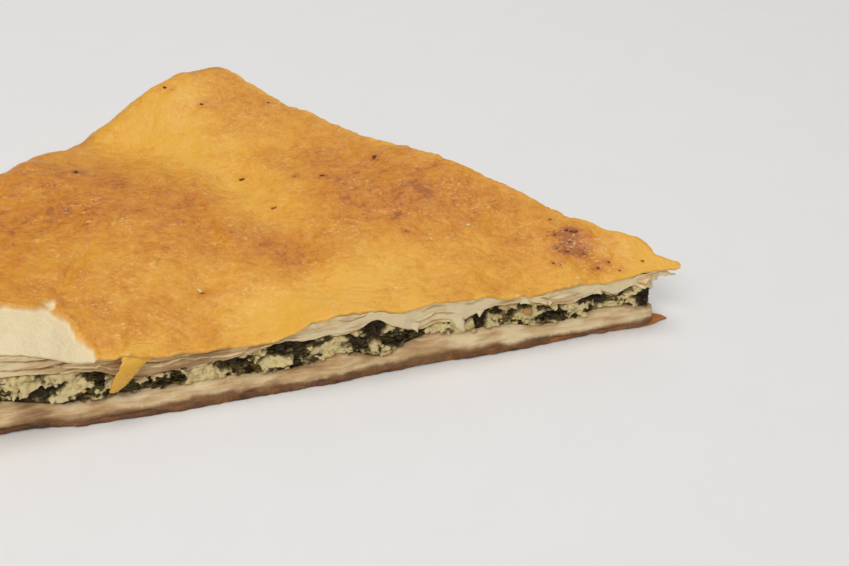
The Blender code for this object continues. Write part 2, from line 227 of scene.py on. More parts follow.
@dataclass(frozen=True)
class PiePlan:
    """Plan of the wedge: two cuts that meet at the tip, and the round rim of the pan.

    Args:
        tip_angle: angle between the cuts.
        pan_radius: radius of the rim.
        pan_centre: middle of the pan.
        rim_wave: how far the rim strays from the circle.
        tip: the tip's place in the frame, in metres.
    """

    tip_angle: float = radians(53.5)
    pan_radius: float = 119.5
    pan_centre: tuple[float, float] = (-47.0, -3.0)
    rim_wave: float = 0.9
    tip: tuple[float, float] = (0.0, 0.0)

    @property
    def back_angle(self) -> float:
        """Direction of the back cut from the tip."""
        return pi - self.tip_angle

    def rim_distance(self, angle: Array, origin: tuple[float, float], inset: float) -> Array:
        """Distance from a point to the rim, where a ray from it meets the pan's circle.

        Args:
            angle: direction of the ray.
            origin: where the ray starts.
            inset: how far inside the rim the circle lies.

        Returns:
            The length of the ray.
        """
        cx, cy = self.pan_centre[0] - origin[0], self.pan_centre[1] - origin[1]
        forward = cx * np.cos(angle) + cy * np.sin(angle)
        across = cx * np.sin(angle) - cy * np.cos(angle)
        share = np.clip((angle - self.back_angle) / self.tip_angle, 0.0, 1.0)
        wave = self.rim_wave * np.sin(9.0 * share) * np.sin(pi * share)
        return forward + np.sqrt((self.pan_radius - inset) ** 2 - across**2) + wave

    def depths(self, x: Array, y: Array) -> tuple[Array, Array, Array]:
        """How far points lie inside the front cut, the back cut and the rim."""
        back = -x * sin(self.back_angle) + y * cos(self.back_angle)
        angle = np.clip(np.arctan2(np.maximum(y, 0.0), np.minimum(x, -1e-6)), self.back_angle, pi)
        return y, back, self.rim_distance(angle, (0.0, 0.0), 0.0) - np.hypot(x, y)

    def cut(self, side: Side) -> CutLine:
        """The line of one of the cuts."""
        if side is Side.FRONT:
            length = float(self.rim_distance(np.array(pi), (0.0, 0.0), 0.0))
            return CutLine(side, (-1.0, 0.0), (0.0, -1.0), length)
        angle = self.back_angle
        length = float(self.rim_distance(np.array(angle), (0.0, 0.0), 0.0))
        return CutLine(side, (cos(angle), sin(angle)), (sin(angle), -cos(angle)), length)

    def net(self, front: int, back: int, setback: float = 0.0, rim_inset: float = 0.0) -> PlanGrid:
        """Even net over the wedge. A unit square is bent to a quarter disc, whose two straight
        sides become the cuts and whose arc becomes the rim.

        Args:
            front: spaces along the front cut.
            back: spaces along the back cut.
            setback: how far the cuts move in.
            rim_inset: how far the rim moves in.

        Returns:
            The net and its border.
        """
        p, q = np.meshgrid(np.linspace(0, 1, front + 1), np.linspace(0, 1, back + 1), indexing="ij")
        a, b = p * np.sqrt(1 - q * q / 2), q * np.sqrt(1 - p * p / 2)
        vx, vy = -a + b * cos(self.back_angle), b * sin(self.back_angle)
        angle = np.clip(np.arctan2(vy, np.where(vx == 0.0, -1e-9, vx)), self.back_angle, pi)
        middle = pi - 0.5 * self.tip_angle
        start = setback / sin(0.5 * self.tip_angle)
        origin = (start * cos(middle), start * sin(middle))
        reach = np.hypot(a, b) * self.rim_distance(angle, origin, rim_inset)
        x, y = origin[0] + reach * np.cos(angle), origin[1] + reach * np.sin(angle)
        loop_x, loop_y = border(x), border(y)
        dx = np.roll(loop_x, -1) - np.roll(loop_x, 1)
        dy = np.roll(loop_y, -1) - np.roll(loop_y, 1)
        normal = np.stack([-dy, dx], axis=1) / np.maximum(np.hypot(dx, dy), 1e-9)[:, None]
        return PlanGrid(x, y, loop_x, loop_y, normal)

    def place(self, points: Array) -> Array:
        """Plan coordinates as metres in the frame."""
        return points * MM + np.array([self.tip[0], self.tip[1], 0.0])


# Heights of the pie

@dataclass(frozen=True)
class Swell:
    """A soft round rise of the crust: where, how wide and how high."""

    x: float
    y: float
    width: float
    height: float

    def at(self, x: Array, y: Array) -> Array:
        """Height times e to the minus half the squared distance over the squared width."""
        reach = ((x - self.x) ** 2 + (y - self.y) ** 2) / (2.0 * self.width**2)
        return self.height * np.exp(-reach)


@dataclass(frozen=True)
class Trough:
    """A soft groove pressed along a line: both ends, half width and depth."""

    start: tuple[float, float]
    end: tuple[float, float]
    width: float
    depth: float

    def at(self, x: Array, y: Array) -> Array:
        """Depth times e to the minus squared distance from the line over the squared width."""
        lx, ly = self.end[0] - self.start[0], self.end[1] - self.start[1]
        share = ((x - self.start[0]) * lx + (y - self.start[1]) * ly) / (lx * lx + ly * ly)
        share = np.clip(share, 0.0, 1.0)
        away = np.hypot(x - self.start[0] - share * lx, y - self.start[1] - share * ly)
        return self.depth * np.exp(-((away / self.width) ** 2))


SWELLS = (
    Swell(-83.0, 104.0, 15.0, 6.6),
    Swell(-96.0, 100.0, 8.0, 2.0),
    Swell(-142.0, 44.0, 27.0, 4.0),
    Swell(-150.0, 2.0, 15.0, 5.4),
    Swell(-98.0, 0.0, 13.0, -3.2),
    Swell(-75.0, 1.0, 9.0, 1.3),
    Swell(-31.0, 0.0, 9.0, -1.5),
    Swell(-34.0, 48.0, 15.0, 4.3),
    Swell(-60.0, 82.0, 11.0, 0.6),
    Swell(-64.0, 46.0, 20.0, 2.2),
    Swell(-112.0, 50.0, 13.0, 1.6),
    Swell(-112.0, 87.0, 9.5, -2.7),
    Swell(-134.0, 70.0, 12.0, 1.5),
    Swell(-14.0, 22.0, 8.0, 2.2),
    Swell(1.0, 3.0, 6.0, 1.1),
    Swell(-4.0, 7.0, 5.0, 4.0),
    Swell(-10.0, 14.0, 5.0, 0.9),
    Swell(-17.0, 22.0, 4.0, -0.7),
    Swell(-24.0, 36.0, 4.0, 1.3),
    Swell(-52.0, 71.0, 6.0, 0.6),
    Swell(-61.0, 83.0, 7.0, 1.0),
    Swell(-90.0, 108.0, 9.0, 0.8),
    Swell(-104.0, 98.0, 6.0, 0.8),
    Swell(-141.0, 73.0, 8.0, 1.6),
)
TROUGHS = (
    Trough((-103.0, 82.0), (-86.0, 60.0), 7.0, 1.2),
    Trough((-86.0, 60.0), (-76.0, 14.0), 6.0, 1.2),
    Trough((-98.0, 66.0), (-95.0, 32.0), 2.6, 0.8),
    Trough((-122.0, 34.0), (-130.0, 20.0), 1.0, 0.7),
    Trough((-26.0, 34.0), (-34.0, 22.0), 1.6, 0.35),
    Trough((-62.0, 66.0), (-50.0, 50.0), 3.0, 0.35),
    Trough((-103.0, 6.9), (-98.2, 13.2), 1.1, 0.45),
    Trough((-98.1, 4.8), (-92.1, 9.0), 1.0, 0.4),
    Trough((-93.6, 0.7), (-85.3, 5.7), 1.1, 0.5),
    Trough((-83.4, 3.3), (-75.6, 8.2), 1.2, 0.4),
    Trough((-130.9, 2.6), (-125.8, 1.2), 0.55, 0.7),
)

# Heights along the front cut, where the layers show best: distance from the tip and height
SKIN_FRONT = (
    (0, 16.4), (4, 15.2), (13, 14.2), (23, 14.7), (31, 13.9), (38, 14.3), (46, 15.2), (55, 15.8),
    (63, 15.2), (69, 16.3), (78, 16.4), (82, 15.7), (86, 14.0), (91, 13.0), (97, 12.8), (105, 13.2),
    (115, 14.4), (121, 15.4), (128, 16.3), (133, 18.2), (142, 20.9), (150, 21.4),
)
FILLING_FRONT = (
    (3, 11.5), (9, 10.8), (13, 9.4), (16, 10.8), (23, 9.4), (30, 10.0), (36, 12.2), (44, 11.0),
    (48, 9.2), (54, 10.2), (59, 8.8), (65, 11.6), (68, 13.6), (71, 11.8), (78, 11.0), (84, 10.6),
    (88, 11.6), (92, 11.0), (97, 9.7), (109, 8.7), (121, 9.0), (126, 12.0), (134, 13.0),
    (143, 14.0), (150, 13.0), (156, 8.0),
)
BASE_FRONT = (
    (0, 4.0), (6, 4.9), (11, 6.5), (20, 4.8), (30, 4.1), (38, 6.1), (50, 5.9), (56, 7.2),
    (62, 4.7), (67, 3.0), (72, 5.2), (76, 6.1), (80, 4.9), (89, 4.0), (101, 4.6), (113, 5.1),
    (130, 4.8), (138, 6.2), (144, 7.8), (151, 6.6), (158, 3.6),
)
# How far the foot of the front cut stands out of its plane, by distance from the tip
FOOT_FRONT = (
    (0, 0.6), (4, 1.3), (10, 1.1), (18, 0.8), (24, 1.2), (43, 1.6), (53, 1.2), (62, 1.2),
    (72, 1.9), (91, 2.0), (107, 2.2),
    (119, 1.8), (129, 1.5), (138, 0.0), (155, -0.4),
)


@dataclass(frozen=True)
class PieShape:
    """Heights of the faces between the layers, in plan coordinates.

    Args:
        plan: the wedge's plan.
        gap: space between two layers.
        base_height: thickness of the bottom crust.
        base_rim_height: its thickness at the rim.
        filling_height: thickness of the filling.
        filling_end: its thickness where it ends at the rim.
        filling_follow: share of the swells that it fills out at the cuts.
        crown_height: level of the crust before swells and troughs.
        skin: thickness of the browned skin.
        rim_rounding: how far in from the rim the crust bends down.
        rim_drop: share of its height that it loses there.
        front_blend: how far in from the front cut the measured heights hold.
        patch: middle and radii of the place where the skin has broken away.
    """

    plan: PiePlan
    gap: float = 0.12
    base_height: float = 5.2
    base_rim_height: float = 2.1
    filling_height: float = 5.6
    filling_end: float = 0.6
    filling_follow: float = 0.45
    crown_height: float = 15.2
    skin: float = 0.75
    rim_rounding: float = 8.5
    rim_drop: float = 0.5
    front_blend: float = 7.0
    patch: tuple[float, float, float, float] = (-141.0, 3.0, 12.8, 12.0)

    def near_cut(self, x: Array, y: Array) -> Array:
        """1 on a cut face, falling to 0 at 15 mm inside it."""
        front, back, _ = self.plan.depths(x, y)
        return 1.0 - smooth(np.minimum(front, back), 1.0, 15.0)

    def front_share(self, y: Array) -> Array:
        """1 on the front cut, falling to 0 inside it along a bell curve."""
        return np.exp(-((y / self.front_blend) ** 2))

    def base_top(self, x: Array, y: Array) -> Array:
        """Upper face of the bottom crust: level inside, wavy at the cuts, low at the rim."""
        _, _, rim = self.plan.depths(x, y)
        wave = 0.9 * grain(x, y, 0.0, 5.0, 1) + 0.5 * grain(x, y, 0.0, 12.0, 2)
        roll = 2.2 * smooth(rim, 6.0, 20.0) * (1.0 - smooth(rim, 20.0, 36.0))
        height = self.base_height + roll + wave * self.near_cut(x, y)
        share = self.front_share(y)
        height = height * (1.0 - share) + curve_through(BASE_FRONT, -x) * share
        return self.base_rim_height + (height - self.base_rim_height) * smooth(rim, 0.0, 18.0)

    def filling_top(self, x: Array, y: Array) -> Array:
        """Upper face of the filling, thinning to its end near the rim."""
        _, _, rim = self.plan.depths(x, y)
        base = self.base_top(x, y) + self.gap
        wave = 1.1 * grain(x, y, 0.0, 5.0, 3) + 0.5 * grain(x, y, 0.0, 13.0, 4)
        heap = wave + self.filling_follow * sum(swell.at(x, y) for swell in SWELLS)
        full = self.filling_height + heap * self.near_cut(x, y)
        share = self.front_share(y) * smooth(rim, 8.0, 20.0)
        full = full * (1.0 - share) + (curve_through(FILLING_FRONT, -x) - base) * share
        full = np.maximum(full, 1.5)
        return base + self.filling_end + (full - self.filling_end) * smooth(rim, 4.0, 20.0)

    def crust_underside(self, x: Array, y: Array) -> Array:
        """Lower face of the top crust: on the filling, and on the bottom crust at the rim."""
        _, _, rim = self.plan.depths(x, y)
        on_base = self.base_top(x, y) + self.gap
        return on_base + (self.filling_top(x, y) + self.gap - on_base) * smooth(rim, 1.2, 4.4)

    def patch_reach(self, x: Array, y: Array) -> Array:
        """Distance from the patch's middle over its radius, with a ragged wobble."""
        px, py, rx, ry = self.patch
        wobble = 0.13 * grain(x, y, 0.0, 6.0, 5) + 0.07 * grain(x, y, 0.0, 1.8, 25, 2)
        corner = 0.32 * np.exp(-((x + 131.0) ** 2 + (y - 16.5) ** 2) / 14.0)
        tail = 0.3 * np.exp(-((x + 125.5) ** 2 + (y - 0.2) ** 2) / 8.0)
        return np.hypot((x - px) / rx, (y - py) / ry) + wobble - corner - tail

    def bare(self, x: Array, y: Array) -> Array:
        """1 where the skin has broken away, 0 where it is whole."""
        return 1.0 - smooth(self.patch_reach(x, y), 0.97, 1.03)

    def foot_out(self, x: Array, y: Array) -> Array:
        """How far the bottom crust's foot stands out of the front cut, fading away inside it."""
        return curve_through(FOOT_FRONT, -x) * np.exp(-((y / 2.0) ** 2))

    def crown(self, x: Array, y: Array) -> Array:
        """Outer face of the crust before the rim rounds it off."""
        height = self.crown_height + sum(swell.at(x, y) for swell in SWELLS)
        height = height - sum(trough.at(x, y) for trough in TROUGHS)
        share = np.exp(-((y / 9.0) ** 2))
        height = height * (1.0 - share) + curve_through(SKIN_FRONT, -x) * share
        height = height + 0.42 * grain(x, y, 0.0, 9.0, 6) + 0.26 * grain(x, y, 0.0, 4.0, 7, 2)
        return height

    def skin_relief(self, x: Array, y: Array) -> Array:
        """Blisters, wrinkles and the step round the broken patch."""
        blister = np.maximum(grain(x, y, 0.0, 3.4, 8, 2) - 0.25, 0.0) ** 2
        wrinkle = 1.0 - np.abs(grain(0.55 * x + y, x - 0.4 * y, 0.0, 5.5, 9, 2))
        relief = 0.75 * blister - 0.22 * smooth(wrinkle, 0.82, 1.0)
        relief = relief + 0.05 * grain(x, y, 0.0, 0.9, 10, 2)
        front, back, _ = self.plan.depths(x, y)
        curl = 0.5 * np.exp(-np.maximum(front, 0.0) / 1.6) + 0.2 * np.exp(-np.maximum(back, 0.0) / 1.6)
        curl = curl * grain(x, y, 0.0, 3.6, 12, 2)
        relief = relief + curl
        reach = self.patch_reach(x, y)
        lip = 0.35 * np.exp(-(((reach - 1.07) / 0.05) ** 2))
        return relief * (1.0 - 0.7 * self.bare(x, y)) + lip - 0.85 * self.bare(x, y)

    def crust_top(self, x: Array, y: Array, inward: float = 0.0) -> Array:
        """Outer face of the top crust, bent down to the pan at the rim.

        Args:
            x: plan X.
            y: plan Y.
            inward: reads the rim's bend this much nearer the rim, for the skin's inner face.

        Returns:
            Heights above the foot.
        """
        _, _, rim = self.plan.depths(x, y)
        share = np.clip((rim - inward) / self.rim_rounding, 0.0, 1.0)
        rounding = np.sqrt(1.0 - (1.0 - share) ** 2)
        low = self.crust_underside(x, y) + self.skin
        body = (self.crown(x, y) - low) * ((1.0 - self.rim_drop) + self.rim_drop * rounding)
        crinkle = 0.5 * grain(x, y, 0.0, 4.5, 11) * (1.0 - smooth(rim, 4.0, 14.0))
        return low + body + self.skin_relief(x, y) + crinkle


# Meshes

def net_faces(rows: int, columns: int, wrap: bool = False) -> Array:
    """Quads between neighbouring nodes of a net numbered row by row.

    Args:
        rows: rows of nodes.
        columns: nodes in a row.
        wrap: whether the last column joins the first.

    Returns:
        Node numbers, four to a quad.
    """
    across = columns if wrap else columns - 1
    row, column = np.meshgrid(np.arange(rows - 1), np.arange(across), indexing="ij")
    after = (column + 1) % columns
    corners = (row * columns + column, row * columns + after,
               (row + 1) * columns + after, (row + 1) * columns + column)
    return np.stack([corner.ravel() for corner in corners], axis=1)


@dataclass
class Build:
    """Vertices, faces and vertex values of a piece while it grows.

    Args:
        points: blocks of vertices in plan coordinates.
        faces: blocks of faces, each with one number of corners.
        values: named values, one block for each block of vertices.
        count: vertices so far.
    """

    points: list[Array] = field(default_factory=list)
    faces: list[Array] = field(default_factory=list)
    values: dict[str, list[Array]] = field(default_factory=dict)
    count: int = 0

    def add(self, points: Array, faces: list[Array], **values: Array) -> None:
        """Add a block whose faces number its own vertices from 0.

        Args:
            points: vertices, in any array whose last axis is XYZ.
            faces: face blocks.
            **values: one value a vertex for each name.
        """
        flat = points.reshape(-1, 3)
        self.faces += [block + self.count for block in faces]
        for name, value in values.items():
            whole = np.broadcast_to(np.asarray(value, float), points.shape[:-1]).reshape(-1)
            self.values.setdefault(name, []).append(whole)
        self.points.append(flat)
        self.count += len(flat)

    def finish(self, name: str, plan: PiePlan, material: bpy.types.Material, node: Node) -> bpy.types.Object:
        """Make the object, dress it and let it ride in place of its solid.

        Args:
            name: the piece's name.
            plan: places the vertices in the frame.
            material: its finish.
            node: the solid that it stands for.

        Returns:
            The new object.
        """
        points = plan.place(np.concatenate(self.points))
        sizes = np.concatenate([np.full(len(block), block.shape[1]) for block in self.faces])
        corners = np.concatenate([block.ravel() for block in self.faces])
        mesh = bpy.data.meshes.new(name)
        mesh.vertices.add(len(points))
        mesh.vertices.foreach_set("co", points.astype(np.float32).ravel())
        mesh.loops.add(len(corners))
        mesh.loops.foreach_set("vertex_index", corners.astype(np.int32))
        mesh.polygons.add(len(sizes))
        starts = np.concatenate([[0], np.cumsum(sizes)[:-1]])
        mesh.polygons.foreach_set("loop_start", starts.astype(np.int32))
        mesh.polygons.foreach_set("use_smooth", np.ones(len(sizes), bool))
        mesh.update(calc_edges=True)
        for label, blocks in self.values.items():
            layer = mesh.attributes.new(label, "FLOAT", "POINT")
            layer.data.foreach_set("value", np.concatenate(blocks).astype(np.float32))
        mesh.materials.append(material)
        piece = bpy.data.objects.new(name, mesh)
        bpy.context.scene.collection.objects.link(piece)
        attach(piece, BODY)
        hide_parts(node.value)
        LOG.info("%s: %d faces", name, len(sizes))
        return piece


def closed_slab(build: Build, upper: Array, rings: Array, lower: Array, **values: Array) -> None:
    """Close a slab: an upper net, rings of wall from the top down, and a lower net.

    A net with as many border nodes as the rings is joined straight to the wall. A coarser one is
    joined by a strip whose faces each take one of its border's spaces and several of the ring's.

    Args:
        build: takes the slab.
        upper: nodes of the upper face, rows by columns by XYZ.
        rings: wall, rings by points by XYZ.
        lower: nodes of the lower face.
        **values: a function of the vertices for each name.
    """
    ring_count, around = rings.shape[:2]
    wall = np.arange(ring_count * around).reshape(ring_count, around)
    blocks, faces = [rings.reshape(-1, 3)], []
    offset = ring_count * around
    for net, is_upper in ((upper, True), (lower, False)):
        rows, columns = net.shape[:2]
        numbers = np.arange(rows * columns).reshape(rows, columns) + offset
        quads = numbers.ravel()[net_faces(rows, columns)]
        faces.append(quads if is_upper else quads[:, ::-1])
        edge = border(numbers)
        if len(edge) == around:
            wall = np.concatenate([edge[None], wall] if is_upper else [wall, edge[None]])
        else:
            step = around // len(edge)
            near = wall[0] if is_upper else wall[-1]
            fine = near[(np.arange(len(edge))[:, None] * step + np.arange(step + 1)) % around]
            pair = np.stack([edge, np.roll(edge, -1)], axis=1)
            strip = [pair, fine[:, ::-1]] if is_upper else [fine, pair[:, ::-1]]
            faces.append(np.concatenate(strip, axis=1))
        blocks.append(net.reshape(-1, 3))
        offset += rows * columns
    faces.append(wall.ravel()[net_faces(len(wall), around, wrap=True)])
    points = np.concatenate(blocks)
    read = {name: value(points) for name, value in values.items()}
    build.add(points, faces, **read)


def cut_face(build: Build, cut: "CutLine", reach: Array, section: Array, depth: Array | float,
             **values: Array) -> None:
    """Close a strip along a cut: a rough outer face, and a narrower back some way inside.

    Args:
        build: takes the strip.
        cut: the cut that it shows at.
        reach: distances from the tip, one for each row.
        section: rows by points by outward offset and height, from the bottom up.
        depth: how far inside the cut its back lies, less near the tip.
        **values: one value a row and point for each name.
    """
    inside = np.minimum(depth, 0.3 + 0.35 * reach)[:, None]
    ends = section[:, [-1, 0], 1]
    back = np.stack([np.broadcast_to(-inside, ends.shape), 0.65 * ends + 0.35 * ends[:, ::-1]], axis=2)
    whole = np.concatenate([section, back], axis=1)
    x, y = cut.place(reach[:, None], whole[..., 0])
    faces = tube_faces(*whole.shape[:2])
    if cut.side is Side.BACK:
        faces = [block[:, ::-1] for block in faces]
    padded = {name: np.concatenate([value, value[:, [-1, 0]]], axis=1) for name, value in values.items()}
    build.add(np.stack([x, y, whole[..., 1]], axis=2), faces, **padded)


def tube_faces(rows: int, around: int) -> list[Array]:
    """Faces of a closed tube of rings, with a face over each end."""
    first = np.arange(around)[None, ::-1]
    last = np.arange(around)[None, :] + (rows - 1) * around
    return [net_faces(rows, around, wrap=True), first, last]


def scatter(build: Build, pattern: Array, faces: list[Array], centres: Array, frames: Array,
            tones: Array) -> None:
    """Copy a small solid to many places, each with its own frame and tone.

    Args:
        build: takes the copies.
        pattern: the solids' vertices, copies by vertices by XYZ, or one for all.
        faces: faces of one copy.
        centres: where the copies go.
        frames: three axis vectors for each copy, as columns, with its size in them.
        tones: one value for each copy.
    """
    count = len(centres)
    pattern = np.broadcast_to(pattern, (count, *pattern.shape[-2:]))
    points = np.einsum("kij,kvj->kvi", frames, pattern) + centres[:, None, :]
    size = points.shape[1]
    shift = np.arange(count)[:, None, None] * size
    blocks = [(block[None] + shift).reshape(-1, block.shape[1]) for block in faces]
    build.add(points, blocks, tone=np.broadcast_to(tones[:, None], (count, size)))


def turned_frames(rng: np.random.Generator, along: Array, tilt: Array, size: Array) -> Array:
    """Frames whose first axis keeps near a direction, turned at random.

    Args:
        rng: source of the turns.
        along: preferred direction of the first axis for each copy.
        tilt: how far it may stray for each copy, 0 to 1.
        size: three sizes for each copy.

    Returns:
        Matrices with the sized axes as columns.
    """
    count = len(along)
    first = along + tilt[:, None] * rng.normal(size=(count, 3))
    first /= np.linalg.norm(first, axis=1)[:, None]
    second = np.cross(first, rng.normal(size=(count, 3)))
    second /= np.linalg.norm(second, axis=1)[:, None]
    third = np.cross(first, second)
    return np.stack([first, second, third], axis=2) * size[:, None, :]


# Shader bench

class Signal:
    """An output socket that takes part in Python arithmetic by adding Math nodes."""

    def __init__(self, bench: "Bench", socket: bpy.types.NodeSocket) -> None:
        """Wrap a socket of the bench's node tree."""
        self.bench = bench
        self.socket = socket

    def math(self, operation: str, *others: "Signal | float") -> "Signal":
        """A Math node with this signal first."""
        return self.bench.math(operation, self, *others)

    def __add__(self, other: "Signal | float") -> "Signal":
        """Sum."""
        return self.math("ADD", other)

    __radd__ = __add__

    def __mul__(self, other: "Signal | float") -> "Signal":
        """Product."""
        return self.math("MULTIPLY", other)

    __rmul__ = __mul__

    def __sub__(self, other: "Signal | float") -> "Signal":
        """Difference."""
        return self.math("SUBTRACT", other)

    def __rsub__(self, other: float) -> "Signal":
        """Difference from a number."""
        return self.bench.math("SUBTRACT", other, self)

    def __truediv__(self, other: "Signal | float") -> "Signal":
        """Quotient."""
        return self.math("DIVIDE", other)

    def __pow__(self, other: float) -> "Signal":
        """Power."""
        return self.math("POWER", other)

    def clipped(self) -> "Signal":
        """The signal kept between 0 and 1."""
        return self.math("MINIMUM", 1.0).math("MAXIMUM", 0.0)

    def between(self, low: float, high: float) -> "Signal":
        """A smooth rise from 0 at low to 1 at high."""
        node = self.bench.node("ShaderNodeMapRange", {"interpolation_type": "SMOOTHSTEP"},
                               Value=self, **{"From Min": low, "From Max": high})
        return Signal(self.bench, node.outputs["Result"])


class Bench:
    """Builds one material's nodes."""

    def __init__(self, name: str) -> None:
        """Start a material with a Principled shader."""
        self.material = bpy.data.materials.new(name)
        self.material.use_nodes = True
        self.tree = self.material.node_tree
        self.shader = self.tree.nodes["Principled BSDF"]

    def node(self, kind: str, settings: dict[str, object] | None = None, **inputs: object) -> bpy.types.Node:
        """Add a node.

        Args:
            kind: its type.
            settings: properties to set first. "stops" sets a ramp's places and colours.
            **inputs: values or signals by socket name, or by number as in_0.

        Returns:
            The node.
        """
        node = self.tree.nodes.new(kind)
        for key, value in (settings or {}).items():
            if key == "stops":
                elements = node.color_ramp.elements
                while len(elements) < len(value):
                    elements.new(1.0)
                for element, (place, colour) in zip(elements, value):
                    element.position = place
                    element.color = (*colour, 1.0)
            else:
                setattr(node, key, value)
        for key, value in inputs.items():
            socket = node.inputs[int(key[3:])] if key.startswith("in_") else node.inputs[key]
            if isinstance(value, Signal):
                self.tree.links.new(value.socket, socket)
            else:
                socket.default_value = value
        return node

    def math(self, operation: str, *values: Signal | float) -> Signal:
        """A Math node over values and signals."""
        inputs = {f"in_{k}": value for k, value in enumerate(values)}
        return Signal(self, self.node("ShaderNodeMath", {"operation": operation}, **inputs).outputs[0])

    def attribute(self, name: str) -> Signal:
        """A value stored at the piece's vertices."""
        node = self.node("ShaderNodeAttribute", {"attribute_name": name})
        return Signal(self, node.outputs["Fac"])

    def millimetres(self, stretch: tuple[float, float, float] = (1.0, 1.0, 1.0)) -> Signal:
        """Object coordinates in millimetres, stretched along each axis."""
        place = self.node("ShaderNodeTexCoord")
        scale = tuple(factor / MM for factor in stretch)
        node = self.node("ShaderNodeVectorMath", {"operation": "MULTIPLY"},
                         in_0=Signal(self, place.outputs["Object"]), in_1=scale)
        return Signal(self, node.outputs[0])

    def noise(self, size: float, detail: float = 3.0, rough: float = 0.55, shift: float = 0.0,
              stretch: tuple[float, float, float] = (1.0, 1.0, 1.0)) -> Signal:
        """Noise about 0.5 with features of a size in millimetres.

        Args:
            size: width of its features.
            detail: octaves.
            rough: strength of the finer octaves.
            shift: moves the pattern.
            stretch: factors on the coordinates along each axis.

        Returns:
            The noise.
        """
        place = self.millimetres(stretch)
        moved = self.node("ShaderNodeVectorMath", {"operation": "ADD"}, in_0=place, in_1=(shift,) * 3)
        node = self.node("ShaderNodeTexNoise", None, Vector=Signal(self, moved.outputs[0]),
                         Scale=1.0 / size, Detail=detail, Roughness=rough)
        return Signal(self, node.outputs["Fac"])

    def cells(self, size: float, feature: str = "F1") -> Signal:
        """Distance to scattered points about a size apart, over that size."""
        node = self.node("ShaderNodeTexVoronoi", {"feature": feature}, Vector=self.millimetres(),
                         Scale=1.0 / size)
        return Signal(self, node.outputs["Distance"])

    def ramp(self, value: Signal, stops: tuple[tuple[float, Colour], ...]) -> Signal:
        """A colour ramp read at a value."""
        node = self.node("ShaderNodeValToRGB", {"stops": stops}, Fac=value)
        return Signal(self, node.outputs["Color"])

    def mix(self, share: Signal | float, first: Signal | Colour, second: Signal | Colour) -> Signal:
        """Mix two colours by a share of the second."""
        def tone(colour: Signal | Colour) -> Signal | tuple[float, ...]:
            """A colour with its alpha, or a signal as it is."""
            return colour if isinstance(colour, Signal) else (*colour, 1.0)
        node = self.node("ShaderNodeMix", {"data_type": "RGBA", "clamp_factor": True},
                         in_0=share, in_6=tone(first), in_7=tone(second))
        return Signal(self, node.outputs[2])

    def finish(self, colour: Signal, roughness: Signal | float, height: Signal | None = None,
               relief: float = 0.3, **constants: float) -> bpy.types.Material:
        """Connect the shader.

        Args:
            colour: base colour.
            roughness: roughness.
            height: height from 0 to 1 for fine relief.
            relief: millimetres that a height of 1 stands for.
            **constants: other sockets' values, with _ for a space.

        Returns:
            The material.
        """
        links = self.tree.links
        links.new(colour.socket, self.shader.inputs["Base Color"])
        if isinstance(roughness, Signal):
            links.new(roughness.socket, self.shader.inputs["Roughness"])
        else:
            self.shader.inputs["Roughness"].default_value = roughness
        if height is not None:
            bump = self.node("ShaderNodeBump", None, Height=height, Strength=1.0, Distance=relief * MM)
            links.new(bump.outputs["Normal"], self.shader.inputs["Normal"])
        for name, value in constants.items():
            self.shader.inputs[name.replace("_", " ")].default_value = value
        return self.material


def seen(red: float, green: float, blue: float) -> Colour:
    """A colour picked on a screen from 0 to 255, as the shader's linear values."""
    def channel(value: float) -> float:
        """One channel."""
        share = value / 255.0
        return share / 12.92 if share <= 0.04045 else ((share + 0.055) / 1.055) ** 2.4
    return channel(red), channel(green), channel(blue)


# Finishes

